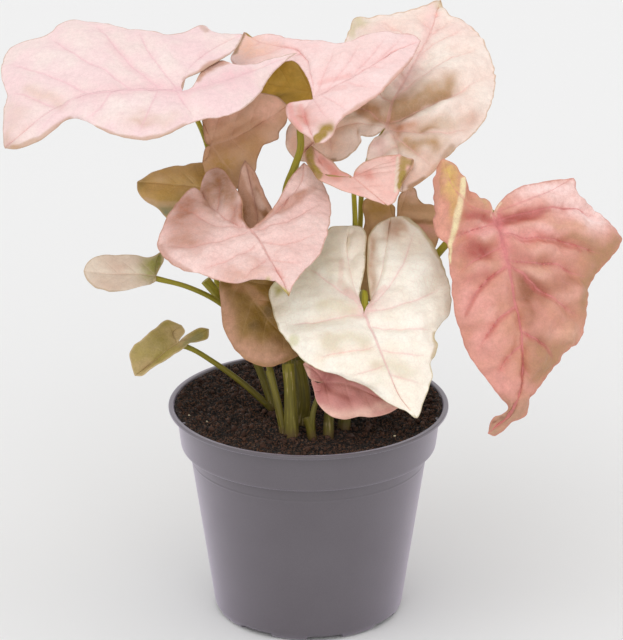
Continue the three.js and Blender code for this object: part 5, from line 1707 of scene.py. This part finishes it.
# Feet are x and y on the soil, in millimetres. Via points are column, row and distance in front
# of the sighting sheet.
SHOOTS = [
    {
        "name": "shoot_front",
        "feet": [(-10.3, -32), (-7, -36)],
        "sheaths": [
            {"foot": 0, "via": [(277, 400, 29), (270, 370, 31)], "radius": 2.3, "tip": 1.5},
            {"foot": 1, "via": [(291, 400, 35), (289, 364, 34)], "radius": 3.9, "tip": 2.3},
        ],
        "stalks": [
            {
                "leaf": "leaf_centre_left", "foot": 0,
                "via": [(270, 370, 31), (257, 305, 25), (247, 256, 33)],
            },
            {"leaf": "leaf_low_centre", "foot": 0, "via": [(270, 370, 29), (258, 325, 24)]},
            {
                "leaf": "leaf_unfurling", "foot": 1,
                "via": [(289, 364, 34), (280, 310, 24), (264, 262, 15)],
            },
        ],
    },
    {
        "name": "shoot_centre", "feet": [(-2.8, -22)],
        "sheaths": [
            {"foot": 0, "via": [(304, 395, 25), (299, 360, 26)], "radius": 3.9, "tip": 2.4},
        ],
        "stalks": [
            {
                "leaf": "leaf_top_centre", "foot": 0,
                "via": [
                    (299, 360, 25), (283, 270, 19), (286, 190, 17), (294, 168, 19),
                    (300.5, 148, 23), (301, 122, 26),
                ],
                "tip": 1.5,
            },
            {
                "leaf": "leaf_shaded_left", "foot": 0,
                "via": [(297, 365, 24), (262, 300, 12), (236, 205, 4)],
            },
        ],
    },
    {
        "name": "shoot_stub", "feet": [(1.6, -36.4)],
        "sheaths": [{"foot": 0, "via": [(308, 418, 36)], "radius": 2.8, "tip": 1.6}],
        "stalks": [{"leaf": "leaf_front_rose", "foot": 0, "via": [(313, 413, 37), (320, 392, 38)]}],
    },
    {
        "name": "shoot_right_front", "feet": [(8.4, -35)],
        "sheaths": [
            {"foot": 0, "via": [(330, 408, 32), (334, 385, 31)], "radius": 2.6, "tip": 1.9},
        ],
        "stalks": [
            {
                "leaf": "leaf_front_ivory", "foot": 0,
                "via": [(334, 385, 31), (351, 325, 28), (363.5, 293, 35)], "tip": 1.6,
            },
            {
                "leaf": "leaf_centre_small", "foot": 0,
                "via": [(334, 385, 30), (350, 300, 19), (355, 227, 12), (354, 197, 22)],
            },
        ],
    },
    {
        "name": "shoot_right", "feet": [(15, -27)],
        "sheaths": [
            {"foot": 0, "via": [(346, 405, 24), (350, 378, 21)], "radius": 3.2, "tip": 2.2},
        ],
        "stalks": [
            {
                "leaf": "leaf_right", "foot": 0,
                "via": [
                    (350, 378, 21), (392, 325, 14), (425, 271, 12), (441, 250, 14), (470, 221, 26),
                ],
                "tip": 1.6,
            },
            {
                "leaf": "leaf_top_right", "foot": 0,
                "via": [
                    (350, 378, 17), (352, 300, 2), (360, 227, -5), (362, 190, -3), (371, 152, 6),
                ],
            },
            {
                "leaf": "leaf_inner_right", "foot": 0,
                "via": [(350, 378, 20), (368, 315, 8), (388, 255, -2)],
            },
        ],
    },
    {
        "name": "shoot_side", "feet": [(-15.6, -7.4)],
        "sheaths": [
            {"foot": 0, "via": [(266, 403, 8)], "radius": 1.9, "tip": 1.5},
            {
                "foot": 0, "via": [(262, 375, 6), (241, 330, 8), (219, 296, 14), (206, 280, 16)],
                "radius": 1.3, "tip": 1.9,
            },
        ],
        "stalks": [
            {
                "leaf": "leaf_low_left", "foot": 0,
                "via": [
                    (261, 399, 8), (245, 385, 10), (228, 372, 12), (212, 361, 14), (194, 350, 17),
                ],
            },
            {
                "leaf": "leaf_far_left", "foot": 0,
                "via": [(262, 375, 6), (248, 330, 10), (220, 303, 17), (188, 287, 22)],
            },
        ],
    },
    {
        "name": "shoot_back", "feet": [(-5, 4)],
        "sheaths": [
            {"foot": 0, "via": [(291, 380, -3), (286, 350, -3)], "radius": 3.6, "tip": 2.2},
        ],
        "stalks": [
            {
                "leaf": "leaf_top_left", "foot": 0,
                "via": [
                    (286, 350, -3), (246, 270, -9), (222, 205, -9), (207, 145, 0), (198, 122, 14),
                ],
            },
            {
                "leaf": "leaf_left_olive", "foot": 0,
                "via": [(286, 350, -4), (240, 318, -6), (218, 286, -8), (215, 240, -7)],
            },
            {
                "leaf": "leaf_back_olive", "foot": 0,
                "via": [(288, 350, -5), (284, 250, -9), (294, 178, -12), (305, 130, -14)],
            },
        ],
    },
]


def wound(path, radii, marks):
    """A closed tube along a path, with radii for each place of the path and each side."""
    rings, sides = radii.shape
    ways = np.gradient(path, axis=0)
    ways /= np.linalg.norm(ways, axis=1)[:, None]
    across = np.cross(ways[0], [0.0, 1.0, 0.3])
    angles = np.arange(sides) * 2 * math.pi / sides
    points = []
    for centre, way, ring_radii in zip(path, ways, radii):
        across = across - way * (across @ way)
        across /= np.linalg.norm(across)
        other = np.cross(way, across)
        ring = np.outer(ring_radii * np.cos(angles), across)
        points.extend(centre + ring + np.outer(ring_radii * np.sin(angles), other))
    points.extend([path[0], path[-1]])
    first, last, end = len(points) - 2, len(points) - 1, (rings - 1) * sides
    faces = []
    for k in range(sides):
        after = (k + 1) % sides
        for i in range(0, end, sides):
            faces.append((i + k, i + after, i + sides + after, i + sides + k))
        faces.append((first, after, k))
        faces.append((last, end + k, end + after))
    walked = np.concatenate([[0], np.cumsum(np.linalg.norm(np.diff(path, axis=0), axis=1))])
    marks["along"].extend([*np.repeat(walked - ROOT_DEPTH, sides), 0, walked[-1]])
    marks["side_x"].extend([*np.tile(np.cos(angles), rings), 0, 0])
    marks["side_y"].extend([*np.tile(np.sin(angles), rings), 0, 0])
    return points, faces


def stalk_tube(path, tip, marks):
    """A stalk: it tapers, is flat along one side, and swells to a blunt end below the blade."""
    path = smooth_through(path, round(length_of(np.array(path)) / STALK_STEP))
    share = np.linspace(0, 1, len(path))
    size = STALK_RADIUS + (tip - STALK_RADIUS) * np.sqrt(share)
    to_end = (1 - share) * length_of(path)
    size *= 1 + 0.22 * np.exp(-((to_end / 5.0) ** 2))
    way = (path[-1] - path[-2]) / np.linalg.norm(path[-1] - path[-2])
    lifts = np.radians([25, 50, 75, 88])
    path = np.vstack([path, path[-1] + np.outer(np.sin(lifts) * size[-1], way)])
    size = np.concatenate([size, np.cos(lifts) * size[-1]])
    angles = np.arange(STALK_SIDES) * 2 * math.pi / STALK_SIDES
    flat = 1 - 0.17 * np.exp(-(((angles - 1.6) / 0.55) ** 2))
    return wound(path, np.outer(size, flat), marks)


def sheath_tube(path, start, end, marks):
    """A sheath: a leaf base rolled round the shoot, whose free edge laps over itself."""
    path = smooth_through(path, round(length_of(np.array(path)) / STALK_STEP))
    share = np.linspace(0, 1, len(path))
    size = start + (end - start) * np.sqrt(share)
    roll = np.linspace(0, 1, SHEATH_SIDES, endpoint=False)
    lap = 0.9 + 0.2 * roll
    open_edge = np.outer(np.clip((share - 0.8) / 0.2, 0, 1), 0.25 * roll**3)
    return wound(path, size[:, None] * (lap + open_edge), marks)


def foot_of(foot):
    """Where a tube starts: below the soil and at its surface."""
    x, y = foot
    top = float(soil_height(x, y))
    return [np.array([x, y, top - ROOT_DEPTH]), np.array([x, y, top])]


def stalk_end(leaf, tip):
    """The place under a blade's joint where the blunt end of its stalk goes in."""
    joint, normal = joints[leaf]
    return joint - normal * 0.75 * tip


def make_shoot(shoot, number):
    """The sheaths and stalks of one shoot as a single piece."""
    draw = np.random.default_rng(40 + number)
    marks = {name: [] for name in ("along", "side_x", "side_y", "tone", "sheath")}
    points, faces = [], []
    tubes = [(sheath, True) for sheath in shoot["sheaths"]]
    tubes += [(stalk, False) for stalk in shoot["stalks"]]
    for tube, is_sheath in tubes:
        path = [*foot_of(shoot["feet"][tube["foot"]]), *(sight(*spot) for spot in tube["via"])]
        if is_sheath:
            tube_points, tube_faces = sheath_tube(path, tube["radius"], tube["tip"], marks)
        else:
            tip = tube.get("tip", STALK_TIP_RADIUS)
            path.append(stalk_end(tube["leaf"], tip))
            tube_points, tube_faces = stalk_tube(path, tip, marks)
        start = len(points)
        points.extend(tube_points)
        faces.extend([p + start for p in face] for face in tube_faces)
        marks["tone"].extend([draw.random()] * len(tube_points))
        marks["sheath"].extend([float(is_sheath)] * len(tube_points))
    name = shoot["name"].replace("shoot_", "stalks_")
    return new_piece(name, points, faces, marks, sharp=70)


stem = Finish("green_stalks", Specular_IOR_Level=0.35)
walk, tone, rolled = stem.mark("along"), stem.mark("tone"), stem.mark("sheath")
fibre = stem.node(
    "ShaderNodeCombineXYZ",
    inputs={
        0: stem.mark("side_x") * (2 * MM) + tone * 0.1,
        1: stem.mark("side_y") * (2 * MM),
        2: walk * (0.06 * MM),
    },
)
streak = stem.cloud(0.6, detail=3, where=fibre)
blotch = stem.cloud(6, detail=3)
# The stalks grow lighter upwards: their dark feet are partly their own deeper green and partly
# painted shade under the foliage.
risen = stem.rise(walk + (blotch - 0.5) * 14, 6, 60)
stem_colour = stem.mix(risen, paint(0x544E0E), paint(0xAAA02C))
stem_colour = stem.mix(tone * 0.4, stem_colour, paint(0x78671E))
stem_colour = stem.mix(stem.rise(streak, 0.5, 0.75) * 0.4, stem_colour, paint(0x988E34))
stem_colour = stem.mix(stem.rise(streak, 0.5, 0.3) * 0.5, stem_colour, paint(0x3E3A12))
earthy = stem.rise(walk + (blotch - 0.5) * 5, 4, 0) * 0.7
stem_colour = stem.mix(earthy, stem_colour, paint(0x5A4426))
papery = stem.rise(rolled * (streak + blotch), 1.12, 1.28) * 0.6
stem_colour = stem.mix(papery, stem_colour, paint(0xA89472))
stem.feed("Base Color", stem_colour)
stem.feed("Roughness", 0.38 + 0.2 * blotch + 0.1 * rolled)
stem.feed("Normal", stem.bump(streak, 0.12))

for number, shoot in enumerate(SHOOTS):
    dress(make_shoot(shoot, number), stem, "stalk", shoot["name"])

# ---- Surroundings ----
# A plain pale floor and soft, even studio light. The camera looks along the line of sight that
# the foliage is set out on.

bpy.ops.mesh.primitive_plane_add(size=60)
floor = bpy.context.object
floor.name = "floor"
pale = Finish("pale_floor")
pale.feed("Base Color", pale.mix(pale.cloud(900), paint(0xEFEFEF), paint(0xF1F1F1)))
pale.feed("Roughness", 0.9 + 0.05 * pale.cloud(300))
floor.data.materials.append(pale.material)

world = bpy.data.worlds.new("studio")
world.use_nodes = True
sky = world.node_tree.nodes["Background"]
sky.inputs["Color"].default_value = (1.0, 1.0, 1.0, 1.0)
sky.inputs["Strength"].default_value = 0.83
bpy.context.scene.world = world

# Soft lamps: name, azimuth from the front, height above the floor and spread in degrees, and
# strength.
LAMPS = [
    ("key", -30.0, 55.0, 50.0, 0.36),
    ("fill", 5.0, 25.0, 60.0, 0.34),
    ("left", -85.0, 28.0, 60.0, 0.14),
    ("right", 85.0, 28.0, 60.0, 0.14),
]
for name, azimuth, height, spread, strength in LAMPS:
    lamp = bpy.data.lights.new(name, "SUN")
    lamp.angle = math.radians(spread)
    lamp.energy = strength
    stand = bpy.data.objects.new(name, lamp)
    stand.rotation_euler = (math.radians(90 - height), 0.0, math.radians(azimuth))
    bpy.context.scene.collection.objects.link(stand)

SENSOR_WIDTH = 36.0
SHEET_COLUMNS = 623
camera = bpy.data.objects.new("camera", bpy.data.cameras.new("camera"))
camera.location = EYE * MM
camera.rotation_euler = (math.pi / 2 - SIGHT_FALL, 0.0, 0.0)
camera.data.sensor_fit = "HORIZONTAL"
camera.data.sensor_width = SENSOR_WIDTH
camera.data.lens = SENSOR_WIDTH * EYE_DISTANCE / (SHEET_COLUMNS * SHEET_STEP)
camera.data.clip_end = 100.0
bpy.context.scene.collection.objects.link(camera)
bpy.context.scene.camera = camera
bpy.context.scene.view_settings.view_transform = "Standard"
